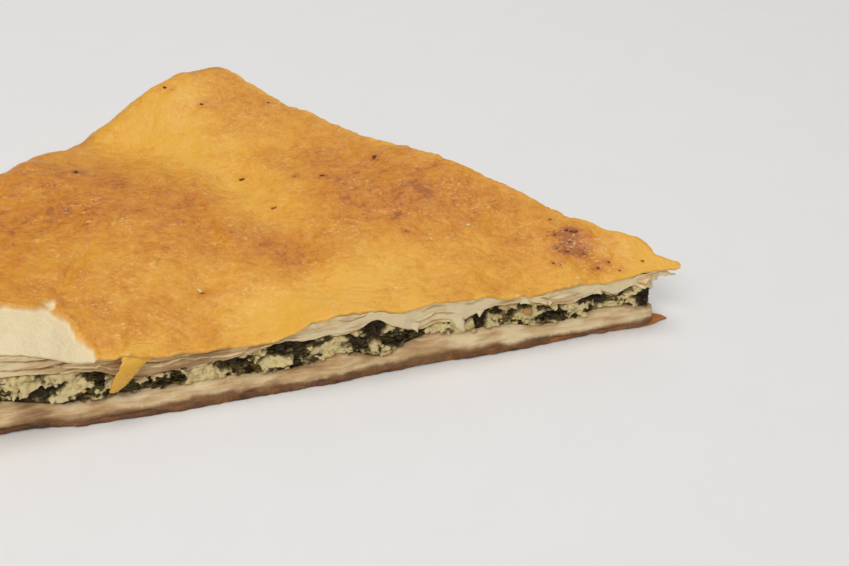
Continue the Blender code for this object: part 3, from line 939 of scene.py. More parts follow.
@dataclass(frozen=True)
class BrownedSkin:
    """Golden filo skin: browning from the vertices, mottled by noise, with a buttery sheen."""

    pale: Colour = seen(233, 173, 62)
    gold: Colour = seen(224, 157, 46)
    amber: Colour = seen(212, 141, 32)
    brown: Colour = seen(199, 121, 24)
    dark: Colour = seen(166, 94, 24)
    bare: Colour = seen(236, 219, 180)
    # Pale gold of the flecks and blister tops: partly the skin's own pale spots, partly a painted highlight
    # of its sheen.
    fleck_and_sheen: Colour = seen(240, 203, 130)

    def material(self) -> bpy.types.Material:
        """The skin's material."""
        bench = Bench("browned_filo_skin")
        broad = bench.noise(12.0, 3.0, shift=3.0)
        patchy = bench.noise(4.2, 2.0, 0.5, shift=11.0)
        mottle = bench.noise(1.7, 2.0, 0.5, shift=15.0)
        fine = bench.noise(0.75, 2.0, 0.5, shift=5.0)
        tiny = bench.noise(0.3, 2.0, shift=9.0)
        streak = bench.noise(1.5, 3.0, 0.6, shift=17.0, stretch=(0.42, 1.0, 1.0))
        brown = bench.attribute("browning") + (broad - 0.5) * 0.6 + (patchy - 0.5) * 0.6
        brown = brown + (mottle - 0.5) * 0.5 + (fine - 0.5) * 0.6 + (streak - 0.5) * 0.4
        stops = ((0.0, self.pale), (0.3, self.gold), (0.55, self.amber), (0.8, self.brown),
                 (1.0, self.dark))
        colour = bench.ramp(brown.clipped(), stops)
        # Pale flecks and blister tops: partly the skin's own pale flaky spots, partly a painted highlight of
        # its buttery sheen.
        area = bench.noise(7.0, 3.0, 0.6, shift=21.0).between(0.46, 0.6)
        fleck = bench.noise(0.55, 2.0, 0.6, shift=23.0, stretch=(0.6, 1.0, 1.0)).between(0.56, 0.7) * area
        blister = bench.cells(2.3).between(0.22, 0.08) * bench.noise(5.0, 2.0, shift=31.0).between(0.56, 0.66)
        colour = bench.mix(fleck * 0.6 + blister * 0.4, colour, self.fleck_and_sheen)
        # Lighter gold on the lower edge of the skin at the cuts: partly the paler cut edge, partly painted
        # light that lifts the shade under the skin's lip.
        colour = bench.mix(bench.attribute("edge"), colour, seen(226, 192, 124))
        bare = bench.attribute("bare")
        dough = bench.mix(bench.noise(4.0, 3.0, shift=2.0), self.bare, seen(228, 205, 158))
        colour = bench.mix(bare, colour, dough)
        height = patchy * 0.4 + mottle * 0.34 + fine * 0.2 + tiny * 0.06 + blister * 0.1
        rough = (0.44 - fleck * 0.1 + (mottle - 0.5) * 0.3 + bare * 0.2).clipped()
        return bench.finish(colour, rough, height, 0.7, Specular_IOR_Level=0.45,
                            Subsurface_Weight=0.08, Subsurface_Scale=0.002)


@dataclass(frozen=True)
class PaleDough:
    """Moist pale dough: cream sheets with faint translucent streaks."""

    name: str
    cream: Colour = seen(250, 223, 176)
    damp: Colour = seen(218, 180, 128)
    shade: Colour = seen(166, 125, 80)
    toasted: Colour = seen(150, 106, 60)
    burnt: Colour = seen(104, 68, 38)
    roughness: float = 0.5

    def material(self) -> bpy.types.Material:
        """The dough's material."""
        bench = Bench(self.name)
        streaks = bench.noise(3.0, 4.0, 0.6, shift=4.0, stretch=(0.45, 0.45, 3.0))
        patches = bench.noise(7.0, 3.0, shift=8.0)
        fine = bench.noise(0.7, 3.0, shift=1.0)
        colour = bench.ramp(streaks * 0.6 + patches * 0.4 + (bench.attribute("tone") - 0.5) * 0.5,
                            ((0.28, self.shade), (0.46, self.damp), (0.62, self.cream)))
        crust = bench.ramp(patches * 0.5 + fine * 0.5, ((0.35, self.burnt), (0.65, self.toasted)))
        edge = (bench.attribute("brown") + (fine - 0.5) * 0.5 + (patches - 0.5) * 0.6).between(0.1, 0.9)
        colour = bench.mix(edge, colour, crust)
        height = streaks * 0.6 + fine * 0.4
        rough = (self.roughness + (fine - 0.5) * 0.3).clipped()
        return bench.finish(colour, rough, height, 0.3, Specular_IOR_Level=0.45,
                            Subsurface_Weight=0.15, Subsurface_Scale=0.003)


@dataclass(frozen=True)
class BrownBase:
    """Underside of the bottom crust: crisp, brown and a little oily."""

    light: Colour = seen(190, 116, 50)
    middle: Colour = seen(122, 78, 40)
    dark: Colour = seen(80, 50, 26)

    def material(self) -> bpy.types.Material:
        """The base's material."""
        bench = Bench("browned_base")
        patchy = bench.noise(5.0, 4.0, 0.6, shift=6.0)
        fine = bench.noise(0.8, 3.0, 0.6, shift=2.0)
        tone = patchy * 0.7 + fine * 0.3 + (bench.attribute("tone") - 0.5) * 0.8
        colour = bench.ramp(tone, ((0.3, self.dark), (0.5, self.middle), (0.72, self.light)))
        height = patchy * 0.5 + fine * 0.5
        return bench.finish(colour, 0.5 + (fine - 0.5) * 0.4, height, 0.35, Specular_IOR_Level=0.4)


@dataclass(frozen=True)
class SpinachLeaf:
    """Cooked spinach: near black green, with olive and yellow pieces."""

    black: Colour = seen(44, 32, 10)
    green: Colour = seen(76, 64, 20)
    olive: Colour = seen(124, 104, 36)
    yellow: Colour = seen(150, 138, 66)

    def material(self) -> bpy.types.Material:
        """The leaf's material."""
        bench = Bench("cooked_spinach")
        veins = bench.noise(1.1, 3.0, 0.6, shift=3.0)
        tone = bench.attribute("tone") * 0.8 + veins * 0.3
        stops = ((0.2, self.black), (0.5, self.green), (0.8, self.olive), (1.0, self.yellow))
        colour = bench.ramp(tone, stops)
        return bench.finish(colour, 0.38 + (veins - 0.5) * 0.3, veins, 0.25, Specular_IOR_Level=0.3)


@dataclass(frozen=True)
class WhiteCheese:
    """Crumbled white cheese, baked to a cream yellow."""

    cream: Colour = seen(238, 220, 166)
    butter: Colour = seen(218, 192, 124)
    toasted: Colour = seen(196, 150, 82)

    def material(self) -> bpy.types.Material:
        """The cheese's material."""
        bench = Bench("crumbled_white_cheese")
        patches = bench.noise(1.8, 3.0, 0.6, shift=7.0)
        fine = bench.noise(0.45, 3.0, 0.65, shift=1.0)
        tone = bench.attribute("tone") * 0.6 + patches * 0.4
        stops = ((0.25, self.cream), (0.6, self.butter), (1.0, self.toasted))
        colour = bench.ramp(tone, stops)
        height = patches * 0.4 + fine * 0.6
        return bench.finish(colour, 0.55 + (fine - 0.5) * 0.3, height, 0.35, Specular_IOR_Level=0.4,
                            Subsurface_Weight=0.15, Subsurface_Scale=0.002)


@dataclass(frozen=True)
class FillingPaste:
    """What holds the filling together: spinach juice and melted cheese, grey green to cream."""

    dark: Colour = seen(50, 34, 10)
    olive: Colour = seen(106, 86, 42)
    film: Colour = seen(150, 130, 90)
    cream: Colour = seen(232, 210, 154)
    butter: Colour = seen(240, 218, 156)

    def material(self) -> bpy.types.Material:
        """The paste's material."""
        bench = Bench("filling_paste")
        lumps = bench.noise(2.6, 4.0, 0.6, shift=5.0)
        fine = bench.noise(0.7, 3.0, 0.6, shift=2.0)
        tone = bench.attribute("tone") + (lumps - 0.5) * 0.7 + (fine - 0.5) * 0.7
        stops = ((0.2, self.dark), (0.38, self.olive), (0.5, self.film), (0.68, self.cream),
                 (0.95, self.butter))
        colour = bench.ramp(tone, stops)
        return bench.finish(colour, 0.4 + (fine - 0.5) * 0.3, lumps * 0.5 + fine * 0.5, 0.5,
                            Specular_IOR_Level=0.28)


@dataclass(frozen=True)
class Crumb:
    """Small loose bits: burnt, toasted or pale, by their tone."""

    burnt: Colour = seen(52, 30, 16)
    toasted: Colour = seen(176, 104, 34)
    pale: Colour = seen(232, 205, 140)

    def material(self) -> bpy.types.Material:
        """The crumbs' material."""
        bench = Bench("loose_crumbs")
        fine = bench.noise(0.4, 2.0)
        tone = bench.attribute("tone") + (fine - 0.5) * 0.2
        colour = bench.ramp(tone, ((0.05, self.burnt), (0.5, self.toasted), (0.95, self.pale)))
        return bench.finish(colour, 0.6 + (fine - 0.5) * 0.2, fine, 0.1)


@dataclass(frozen=True)
class PlainPaper:
    """The pale matt floor."""

    sheet: Colour = seen(231, 229, 227)

    def material(self) -> bpy.types.Material:
        """The floor's material."""
        bench = Bench("plain_pale_floor")
        fibres = bench.noise(14.0, 3.0, shift=1.0)
        colour = bench.mix(fibres, self.sheet, seen(228, 226, 224))
        return bench.finish(colour, 0.75 + (fibres - 0.5) * 0.1, fibres, 0.05, Specular_IOR_Level=0.2)


# Sub-assemblies

BROWN_SPOTS = (
    Swell(-131.0, 56.0, 16.0, 0.30),
    Swell(-112.0, 55.0, 14.0, 0.24),
    Swell(-97.0, 50.0, 6.0, 0.22),
    Swell(-100.0, 36.0, 7.0, 0.16),
    Swell(-89.0, 31.0, 6.0, 0.14),
    Swell(-78.0, 23.0, 6.5, 0.26),
    Swell(-105.0, 7.0, 6.0, 0.20),
    Swell(-134.0, 28.0, 12.0, 0.16),
    Swell(-79.0, 89.0, 9.0, 0.22),
    Swell(-64.0, 64.0, 9.0, 0.16),
    Swell(-51.0, 40.0, 12.0, 0.26),
    Swell(-20.0, 31.0, 8.0, 0.30),
    Swell(-18.0, 11.0, 4.5, 0.42),
    Swell(-34.0, 18.0, 8.0, 0.14),
    Swell(-50.0, 4.0, 6.0, 0.10),
    Swell(-118.0, 12.0, 7.0, 0.06),
    Swell(-66.0, 44.0, 14.0, 0.16),
    Swell(-60.0, 66.0, 10.0, 0.12),
    Swell(-38.0, 40.0, 12.0, 0.14),
    Swell(-50.0, 28.0, 10.0, 0.10),
    Swell(-78.0, 26.0, 7.0, 0.12),
)
PALE_SPOTS = (
    Swell(-99.0, 88.0, 9.0, 0.42),
    Swell(-91.0, 74.0, 7.0, 0.30),
    Swell(-84.0, 57.0, 7.0, 0.28),
    Swell(-80.0, 45.0, 6.0, 0.20),
    Swell(-92.0, 93.0, 7.0, 0.20),
    Swell(-78.0, 74.0, 6.0, 0.18),
    Swell(-84.0, 8.0, 7.0, 0.34),
    Swell(-72.0, 6.0, 9.0, 0.34),
    Swell(-62.0, 15.0, 9.0, 0.22),
    Swell(-92.0, 6.0, 5.0, 0.24),
    Swell(-26.0, 4.0, 6.0, 0.16),
    Swell(-3.0, 3.0, 6.0, 0.34),
    Swell(-47.0, 18.0, 7.0, 0.10),
    Swell(-123.0, 32.0, 4.0, 0.14),
)


# Crumbs darker than this tone have browner skin round them
SCORCHED = 0.35

# Crumbs and specks on the skin: plan X and Y, length, and tone from burnt at 0 to pale at 1
CRUMBS = (
    (-94.5, 97.6, 1.3, 0.05), (-92.9, 96.4, 0.6, 0.1), (-86.7, 90.5, 1.1, 0.02),
    (-69.6, 89.7, 1.2, 0.05), (-120.7, 66.5, 1.3, 0.0), (-83.0, 59.8, 1.5, 0.04),
    (-65.4, 52.0, 1.1, 0.0), (-50.9, 56.6, 2.1, 0.1), (-79.0, 43.9, 1.6, 0.36),
    (-71.4, 54.2, 0.5, 0.1), (-53.0, 31.8, 0.5, 0.05), (-53.0, 25.7, 0.4, 0.1),
    (-16.3, 15.6, 1.9, 0.2), (-17.6, 16.4, 1.0, 0.1), (-20.5, 16.3, 1.0, 0.15),
    (-21.7, 12.3, 0.9, 0.2), (-19.9, 11.0, 1.3, 0.3), (-16.4, 9.4, 1.7, 0.22),
    (-24.3, 8.2, 0.7, 0.1), (-22.9, 7.4, 0.6, 0.1), (-14.8, 4.6, 1.4, 0.1),
    (-12.0, 5.4, 0.8, 0.06), (-10.7, 2.2, 0.8, 0.12), (-18.3, 13.2, 1.2, 0.3),
    (-4.6, 3.4, 1.1, 0.5), (-19.6, 21.5, 0.8, 0.12), (-38.3, 24.7, 1.5, 0.92),
    (-21.0, 1.9, 1.8, 0.9), (-18.1, 4.7, 0.9, 0.8), (-36.9, 24.9, 0.7, 0.9),
    (-101.3, 17.5, 1.8, 1.0), (-100.6, 17.0, 0.9, 0.06),
)

# Torn corners of filo over the front cut: root, point, half width and how far it stands out
TORN_CORNERS = (
    ((50.5, 11.2), (48.2, 7.2), 2.2, 0.9),
    ((60.0, 11.2), (58.8, 8.9), 1.5, 0.7),
    ((44.8, 12.2), (44.9, 10.4), 1.5, 0.8),
    ((35.8, 13.2), (33.2, 11.6), 1.6, 0.8),
    ((17.8, 12.2), (16.0, 10.9), 1.3, 0.6),
    ((27.4, 11.8), (28.6, 10.3), 1.5, 0.7),
    ((4.0, 13.6), (-2.2, 12.7), 1.1, 0.2),
)


@dataclass(frozen=True)
class TopCrust:
    """The top crust: browned skin, pale sheets at the cuts, the dough inside, flakes and crumbs.

    Args:
        shape: heights of the pie.
        fine: spaces of the skin's net along the front and the back cut.
        coarse: how many of them the hidden nets join to one.
        sheets: where each pale sheet lies between the filling and the skin, as a share.
    """

    shape: PieShape
    fine: tuple[int, int] = (272, 232)
    coarse: int = 8
    sheets: tuple[float, ...] = (0.06, 0.55)

    @property
    def plan(self) -> PiePlan:
        """The wedge's plan."""
        return self.shape.plan

    def edge_share(self, count: int, rings: Array, rim: Array) -> Array:
        """1 on the lower half of the skin's edge at the cuts, 0 on its outer face. There the skin is painted
        a lighter gold: partly the paler cut edge of the skin, partly painted light that lifts the shade under
        its lip.

        Args:
            count: the skin's vertices, of which its rings come first.
            rings: the rings of its edge.
            rim: how far inside the rim each point of a ring lies.

        Returns:
            The share for each vertex.
        """
        share = np.zeros(count)
        down = smooth(np.linspace(0.0, 1.0, len(rings)), 0.2, 0.6)
        share[:rings.shape[0] * rings.shape[1]] = (down[:, None] * smooth(rim, 0.5, 3.0)).ravel()
        return share

    def browning(self, x: Array, y: Array) -> Array:
        """How brown the skin is: more on swells and in named spots, less in the pale ones."""
        front, back, rim = self.plan.depths(x, y)
        brown = 0.36 + sum(spot.at(x, y) for spot in BROWN_SPOTS)
        brown = brown - sum(spot.at(x, y) for spot in PALE_SPOTS)
        for spot_x, spot_y, size, tone in CRUMBS:
            if tone < SCORCHED:
                brown = brown + Swell(spot_x, spot_y, 0.5 + 0.55 * size, 0.34).at(x, y)
        # Paler along the cuts: painted light on the skin where it bends over the cut edge.
        brown = brown - 0.16 * np.exp(-np.minimum(front, back) / 1.6)
        return brown + 0.32 * (1.0 - smooth(rim, -1.0, 9.0))

    def fray(self, x: Array, y: Array) -> tuple[Array, Array]:
        """How the skin's edge strays from the plan: out by an uneven amount that dies away inside
        it, and along to a point at the tip.

        Args:
            x: plan X.
            y: plan Y.

        Returns:
            Shifts along X and Y.
        """
        front, back, rim = self.plan.depths(x, y)
        along = np.hypot(x, y)
        rough = 0.4 * grain(along, front - back, 0.0, 3.0, 30, 2) + 0.22 * grain(along, 0.0, 0.0, 0.9, 31, 2)
        rough = rough * smooth(along, 0.0, 5.0)
        near_tip = 1.9 * np.exp(-(((along - 8.0) / 6.5) ** 2)) - 0.8 * (1.0 - smooth(along, 4.4, 5.8))
        hump = np.exp(-(((along - 39.0) / 5.0) ** 2))
        out_front = (0.3 + rough) * np.exp(-np.maximum(front, 0.0) / 1.8)
        out_back = (0.9 + 1.5 * near_tip + 0.6 * hump + rough) * np.exp(-np.maximum(back, 0.0) / 2.2)
        out_rim = (0.9 + 0.4 * grain(x, y, 0.0, 6.0, 33, 2)) * np.exp(-np.maximum(rim, 0.0) / 2.2)
        cx, cy = x - self.plan.pan_centre[0], y - self.plan.pan_centre[1]
        away = np.hypot(cx, cy)
        (fx, fy), (bx, by) = self.plan.cut(Side.FRONT).outward, self.plan.cut(Side.BACK).outward
        point = 2.9 * (1.0 - smooth(along, 1.2, 5.0)) - 0.8 * (1.0 - smooth(along, 0.0, 1.0))
        shift_x = out_front * fx + out_back * bx + out_rim * cx / away + point
        shift_y = out_front * fy + out_back * by + out_rim * cy / away - 0.45 * point
        return shift_x, shift_y

    def hidden_top(self, x: Array, y: Array) -> Array:
        """Level of the skin's inner face, lower round the patch, whose step coarse nets miss."""
        near_patch = 1.0 - smooth(self.shape.patch_reach(x, y), 1.3, 1.7)
        return self.shape.crust_top(x, y) - self.shape.skin - 0.3 - 0.8 * near_patch

    def skin_rings(self, net: PlanGrid) -> Array:
        """Rings of the skin's edge below the first: thin at the cuts, and running down to the foot
        at the rim.

        Args:
            net: the skin's plan.

        Returns:
            Rings by points by XYZ, from the top down.
        """
        x, y, normal = net.loop_x, net.loop_y, net.normal
        _, _, rim = self.plan.depths(x, y)
        top = self.shape.crust_top(x, y)
        lip = self.shape.crust_underside(x, y)
        inner = np.maximum(self.shape.crust_top(x, y, self.shape.skin) - self.shape.skin, lip + 0.4)
        low = np.where(rim < self.shape.skin, lip, inner)
        on_cut = smooth(rim, 0.0, 1.5)
        shift_x, shift_y = self.fray(x, y)
        rings = []
        for share in np.linspace(0.08, 1.0, 13):
            height = top + (low - top) * share
            fold = 0.45 * grain(0.3 * x, 0.3 * y, 1.6 * height, 2.2, 32, 2)
            fold = fold + 0.3 * grain(x, y, height, 4.0, 34)
            fold = fold * (1.0 - on_cut) * np.sin(pi * share) ** 0.5
            round_edge = 0.22 * np.sin(pi * share) - 0.35 * share**3
            out = -0.9 * share**2 * (1.0 - on_cut) + round_edge * on_cut + fold
            place_x, place_y = x + shift_x + normal[:, 0] * out, y + shift_y + normal[:, 1] * out
            rings.append(np.stack([place_x, place_y, height], axis=1))
        return np.array(rings)

    def skin(self) -> bpy.types.Object:
        """The browned skin: one thin closed sheet over the whole crust, bent down at the rim.

        Returns:
            The piece.
        """
        net = self.plan.net(*self.fine)
        shift_x, shift_y = self.fray(net.x, net.y)
        upper = np.stack([net.x + shift_x, net.y + shift_y, self.shape.crust_top(net.x, net.y)], axis=2)
        under = self.plan.net(self.fine[0] // self.coarse, self.fine[1] // self.coarse, 1.4, 1.2)
        lower = np.stack([under.x, under.y, self.hidden_top(under.x, under.y)], axis=2)
        build = Build()
        rings = self.skin_rings(net)
        _, _, rim = self.plan.depths(net.loop_x, net.loop_y)
        closed_slab(build, upper, rings, lower,
                    browning=lambda p: self.browning(p[:, 0], p[:, 1]),
                    bare=lambda p: self.shape.bare(p[:, 0], p[:, 1]),
                    edge=lambda p: self.edge_share(len(p), rings, rim))
        return build.finish("top_crust_skin", self.plan, BrownedSkin().material(), Node.TOP_CRUST)

    def body(self) -> bpy.types.Object:
        """The dough between filling and skin, well inside the cuts.

        Returns:
            The piece.
        """
        shape = self.shape
        net = self.plan.net(112, 96, 3.0, 0.9)
        x, y = net.loop_x, net.loop_y
        low, high = shape.crust_underside(x, y), shape.crust_top(x, y) - shape.skin
        low = np.minimum(low, high - 0.2)
        rings = []
        for share in (1.0, 0.75, 0.5, 0.25, 0.0):
            rings.append(np.stack([x, y, low + (high - low) * share], axis=1))
        caps = []
        for top in (True, False):
            inner = self.plan.net(28, 24, 5.0, 2.5)
            under = shape.crust_underside(inner.x, inner.y)
            over = self.hidden_top(inner.x, inner.y) - 0.1
            height = np.maximum(over, under + 0.3) if top else under
            caps.append(np.stack([inner.x, inner.y, height], axis=2))
        build = Build()
        closed_slab(build, caps[0], np.array(rings), caps[1], tone=lambda p: np.full(len(p), 0.3))
        return build.finish("top_crust_dough", self.plan, PaleDough("dough_under_skin").material(),
                            Node.TOP_CRUST)

    def leaves(self, build: Build, cut: CutLine) -> None:
        """The dough's cut face: soft leaves of filo pressed together, parted by thin clefts that
        open and close along the cut.

        Args:
            build: takes the face.
            cut: the cut that it shows at.
        """
        reach = np.arange(2.4, cut.length - 0.3, 0.3)
        s, share = reach[:, None], np.linspace(0.0, 1.0, 30)[None, :]
        x, y = cut.place(s, 0.0 * share)
        low, high = self.shape.crust_underside(x, y), self.shape.crust_top(x, y, 0.9) - 0.8 * self.shape.skin
        high = np.maximum(high, low + 0.25)
        height = low + (high - low) * share
        side = 40.0 if cut.side is Side.BACK else 0.0
        count = np.clip((high - low) / 1.9, 0.8, 2.6)
        phase = share * count + 0.6 * grain(s, side, 0.0, 13.0, 44) + 0.2 * grain(s, side, 0.0, 3.5, 45)
        cleft = (0.5 + 0.5 * np.cos(2.0 * pi * phase)) ** 12
        parting = smooth(grain(s, np.floor(phase + 0.5) * 7.0, side, 9.0, 46, 2), -0.05, 0.45)
        swell = 0.5 * grain(s, 0.6 * height, side, 8.0, 47) + 0.25 * grain(s, height, side, 2.6, 48, 2)
        out = 0.1 + swell - 1.5 * cleft * parting + 0.05 * grain(s, height, side, 0.8, 49, 2)
        out = out - 0.7 * (1.0 - smooth(share, 0.0, 0.12)) + 0.1 * smooth(share, 0.85, 1.0)
        out = out - (0.6 + out) * smooth(s, cut.length - 2.6, cut.length - 1.0)
        out = out * smooth(s, 0.0, 6.0) - 0.3 * (1.0 - smooth(s, 0.0, 6.0))
        section = np.stack(np.broadcast_arrays(out, height), axis=2)
        # The tone drops where the clefts open: painted shade in the crevices between the leaves.
        tone = 0.72 + 0.25 * grain(s, height, side, 6.0, 43) - 0.35 * cleft * parting
        tone = tone + 0.3 * (1.0 - smooth(s, 20.0, 90.0)) - 0.6 * np.exp(-(((s - 106.0) / 16.0) ** 2))
        depth = np.minimum(LEAF_DEPTH, 0.3 + 0.12 * reach)
        cut_face(build, cut, reach, section, depth, tone=np.broadcast_to(tone, out.shape))

    def sheet(self, build: Build, cut: CutLine, share: float, seed: int) -> None:
        """One thin pale sheet along a cut, with a ragged edge that curls and hides in places.

        The section is a flat loop: out along its upper face, round the edge and back below.

        Args:
            build: takes the sheet.
            cut: the cut that it shows at.
            share: where it lies between the filling and the skin.
            seed: its own pattern.
        """
        reach = np.arange(2.0, cut.length - 1.5, 0.4)
        depth = np.array([6.0, 3.5, 2.2, 1.3, 0.7, 0.25, 0.0, 0.25, 0.7, 1.3, 2.2, 3.5, 6.0])
        face = np.array([1.0] * 6 + [0.0] + [-1.0] * 6)
        s, d = reach[:, None], depth[None, :]
        edge = 0.9 * grain(s, seed * 9.0, 0.0, 6.5, seed, 2) + 0.3 * grain(s, 0.0, 0.0, 1.3, seed + 1, 2)
        edge = edge * smooth(s, 0.0, 6.0)
        x, y = cut.place(s, edge - d)
        low, high = self.shape.crust_underside(x, y), self.shape.crust_top(x, y) - self.shape.skin
        wander = 0.12 * grain(s, d / 9.0, seed * 3.0, 9.0, seed + 2)
        height = low + (high - low) * np.clip(share + wander, 0.03, 0.97)
        curl = grain(s, 0.0, 0.0, 4.5, seed + 4, 2) * np.exp(-d / 0.9) * smooth(s, 4.0, 14.0)
        thick = 0.5 * (0.4 + 0.6 * (1.0 - np.exp(-d / 0.5))) * (0.8 + 0.4 * grain(s, 0.0, 0.0, 7.0, seed + 5))
        height = height + curl * np.minimum(1.0, (high - low) / 3.0) + 0.5 * thick * face
        height = np.minimum(height, high - 0.15 + 0.1 * face)
        points = np.stack(np.broadcast_arrays(x, y, height), axis=2)
        faces = tube_faces(len(reach), len(depth))
        if cut.side is Side.FRONT:
            faces = [block[:, ::-1] for block in faces]
        tone = 0.7 + 0.2 * grain(s, d, seed * 1.0, 8.0, seed + 6) + 0.0 * d
        build.add(points, faces, tone=tone)

    def flap(self, build: Build, cut: CutLine, start: tuple[float, float], end: tuple[float, float],
             half: float, stand: float, seed: int) -> None:
        """A torn corner of filo that hangs or sticks out over the filling.

        Its middle runs from start to end in the cut's face while it bows outward, and its width
        shrinks to a ragged point.

        Args:
            build: takes the flap.
            cut: the cut that it shows at.
            start: distance from the tip and height of its root.
            end: distance from the tip and height of its point.
            half: half its width at the root.
            stand: how far it bows out.
            seed: its own pattern.
        """
        share = np.linspace(0.0, 1.0, CORNER_ROWS)[:, None]
        turn = np.linspace(0.0, 2.0 * pi, CORNER_AROUND + 1)[None, :-1]
        width = half * (1.0 - share**1.3) * (0.55 + 0.45 * smooth(share, 0.0, 0.3)) + 0.1
        width = width * (1.0 + 0.4 * grain(share * 6.0, np.cos(turn), seed * 5.0, 1.0, seed))
        run, fall = end[0] - start[0], end[1] - start[1]
        across = np.cos(turn) * width / np.hypot(run, fall)
        rise = np.sin(turn) * 0.16
        reach = start[0] + run * share - fall * across
        out = -0.6 + (stand + 0.6) * np.sin(0.5 * pi * share) + rise - 0.3 * np.cos(turn) ** 2
        height = start[1] + fall * share**1.4 + run * across
        x, y = cut.place(reach, out)
        height = np.minimum(height, self.shape.crust_top(x, np.maximum(y, 0.1)) - 1.1)
        faces = tube_faces(CORNER_ROWS, CORNER_AROUND)
        if cut.side is Side.FRONT:
            faces = [block[:, ::-1] for block in faces]
        build.add(np.stack(np.broadcast_arrays(x, y, height), axis=2), faces, tone=0.8 + 0.0 * across)

    def pale_sheets(self) -> bpy.types.Object:
        """The pale dough and its sheets that show at the two cuts.

        Returns:
            The piece.
        """
        build = Build()
        for side in Side:
            cut = self.plan.cut(side)
            self.leaves(build, cut)
            for k, share in enumerate(self.sheets):
                self.sheet(build, cut, share, 50 + 10 * k + (100 if side is Side.BACK else 0))
        front = self.plan.cut(Side.FRONT)
        for k, (start, end, half, stand) in enumerate(TORN_CORNERS):
            self.flap(build, front, start, end, half, stand, 200 + k)
        return build.finish("top_crust_sheets", self.plan, PaleDough("pale_filo_sheets").material(),
                            Node.TOP_CRUST)

    def hanging_flake(self) -> bpy.types.Object:
        """A strip of skin that bends over the front cut and hangs down to a ragged point.

        Its middle follows a curve from the skin's edge outward and down, and its width shrinks
        towards the point.

        Returns:
            The piece.
        """
        share = np.linspace(0.0, 1.0, FLAKE_ROWS)[:, None]
        turn = np.linspace(0.0, 2.0 * pi, FLAKE_AROUND + 1)[None, :-1]
        knots_x = ((0.0, -115.4), (0.25, -116.6), (0.45, -118.3), (0.75, -121.0), (1.0, -122.9))
        knots_y = ((0.0, 3.2), (0.25, 0.2), (0.45, -1.3), (0.75, -1.8), (1.0, -1.9))
        mx, my = curve_through(knots_x, share), curve_through(knots_y, share)
        fall = curve_through(((0.0, 0.0), (0.25, -0.1), (0.45, -1.9), (0.75, -5.2), (1.0, -7.4)), share)
        knots_half = ((0.0, 3.2), (0.22, 3.3), (0.4, 2.3), (0.8, 1.3), (0.95, 0.7), (1.0, 0.4))
        half = curve_through(knots_half, share)
        half = half * (1.0 + 0.18 * grain(share * 16.0, 0.0, np.cos(turn), 1.0, 60, 2))
        across = np.cos(turn)
        x = mx + half * across
        y = my + 0.24 * np.sin(turn) * (0.3 + share) + 0.35 * (across * half / 3.0) ** 2
        lying = 1.0 - smooth(share, 0.15, 0.4)
        root = self.shape.crust_top(mx + half * across * lying, np.maximum(my, 0.1)) - 0.2 * across**2 + 0.05
        z = root + fall - 0.28 * half * across * (1.0 - lying) + 0.18 * np.sin(turn) * (1.0 - share)
        points = np.stack(np.broadcast_arrays(x, y, z), axis=2)
        build = Build()
        # Low browning keeps the flake a light gold: partly its own paler skin, partly painted light that
        # lifts the shade it hangs in.
        brown = 0.04 + 0.12 * grain(x, z, 0.0, 2.0, 61, 2)
        faces = [block[:, ::-1] for block in tube_faces(FLAKE_ROWS, FLAKE_AROUND)]
        build.add(points, faces, browning=brown, bare=0.0 * x)
        return build.finish("top_crust_hanging_flake", self.plan, BrownedSkin().material(), Node.TOP_CRUST)

    def crumbs(self) -> bpy.types.Object:
        """Specks, crumbs and thin flakes on the skin, where the real pie has them.

        Returns:
            The piece.
        """
        rng = np.random.default_rng(7)
        x, y, size, tone = np.array(CRUMBS).T
        count = len(CRUMBS)
        lumps, faces = lump_pattern(rng, count, CRUMB_RINGS, CRUMB_AROUND, 1.0)
        turn = rng.uniform(-0.6, 0.6, count)
        flat = np.where(tone > 0.97, 0.42, 0.1)
        frames = np.zeros((count, 3, 3))
        frames[:, 0, 0], frames[:, 0, 1] = np.cos(turn) * size * 0.42, -np.sin(turn) * size * 0.26
        frames[:, 1, 0], frames[:, 1, 1] = np.sin(turn) * size * 0.42, np.cos(turn) * size * 0.26
        frames[:, 2, 2] = flat * size
        centres = np.stack([x, y, self.shape.crust_top(x, y) + 0.1 * size * flat], axis=1)
        build = Build()
        scatter(build, lumps, faces, centres, frames, tone)
        return build.finish("top_crust_crumbs", self.plan, Crumb().material(), Node.TOP_CRUST)

    def make(self) -> None:
        """Build every piece of the top crust."""
        self.skin()
        self.body()
        self.pale_sheets()
        self.hanging_flake()
        self.crumbs()


def lump_pattern(rng: np.random.Generator, count: int, rows: int, around: int,
                 rough: float) -> tuple[Array, list[Array]]:
    """Uneven lumps: spheres whose radius is 1 plus noise read at the sphere's own points.

    Args:
        rng: gives each lump its own place in the noise.
        count: lumps.
        rows: rings from pole to pole.
        around: points in a ring.
        rough: strength of the noise.

    Returns:
        Lumps by vertices by XYZ, and the faces of one.
    """
    rise = np.linspace(0.06 * pi, 0.94 * pi, rows)[:, None]
    turn = np.linspace(0.0, 2.0 * pi, around, endpoint=False)[None, :]
    ball = np.stack([np.sin(rise) * np.cos(turn), np.sin(rise) * np.sin(turn),
                     np.cos(rise) + 0.0 * turn], axis=2).reshape(-1, 3)
    shift = rng.uniform(0.0, 500.0, (count, 1, 3))
    read = ball[None] + shift
    bumps = grain(read[..., 0], read[..., 1], read[..., 2], 0.9, 70, 2)
    lumps = ball[None] * (1.0 + rough * bumps)[..., None]
    return lumps, [block[:, ::-1] for block in tube_faces(rows, around)]


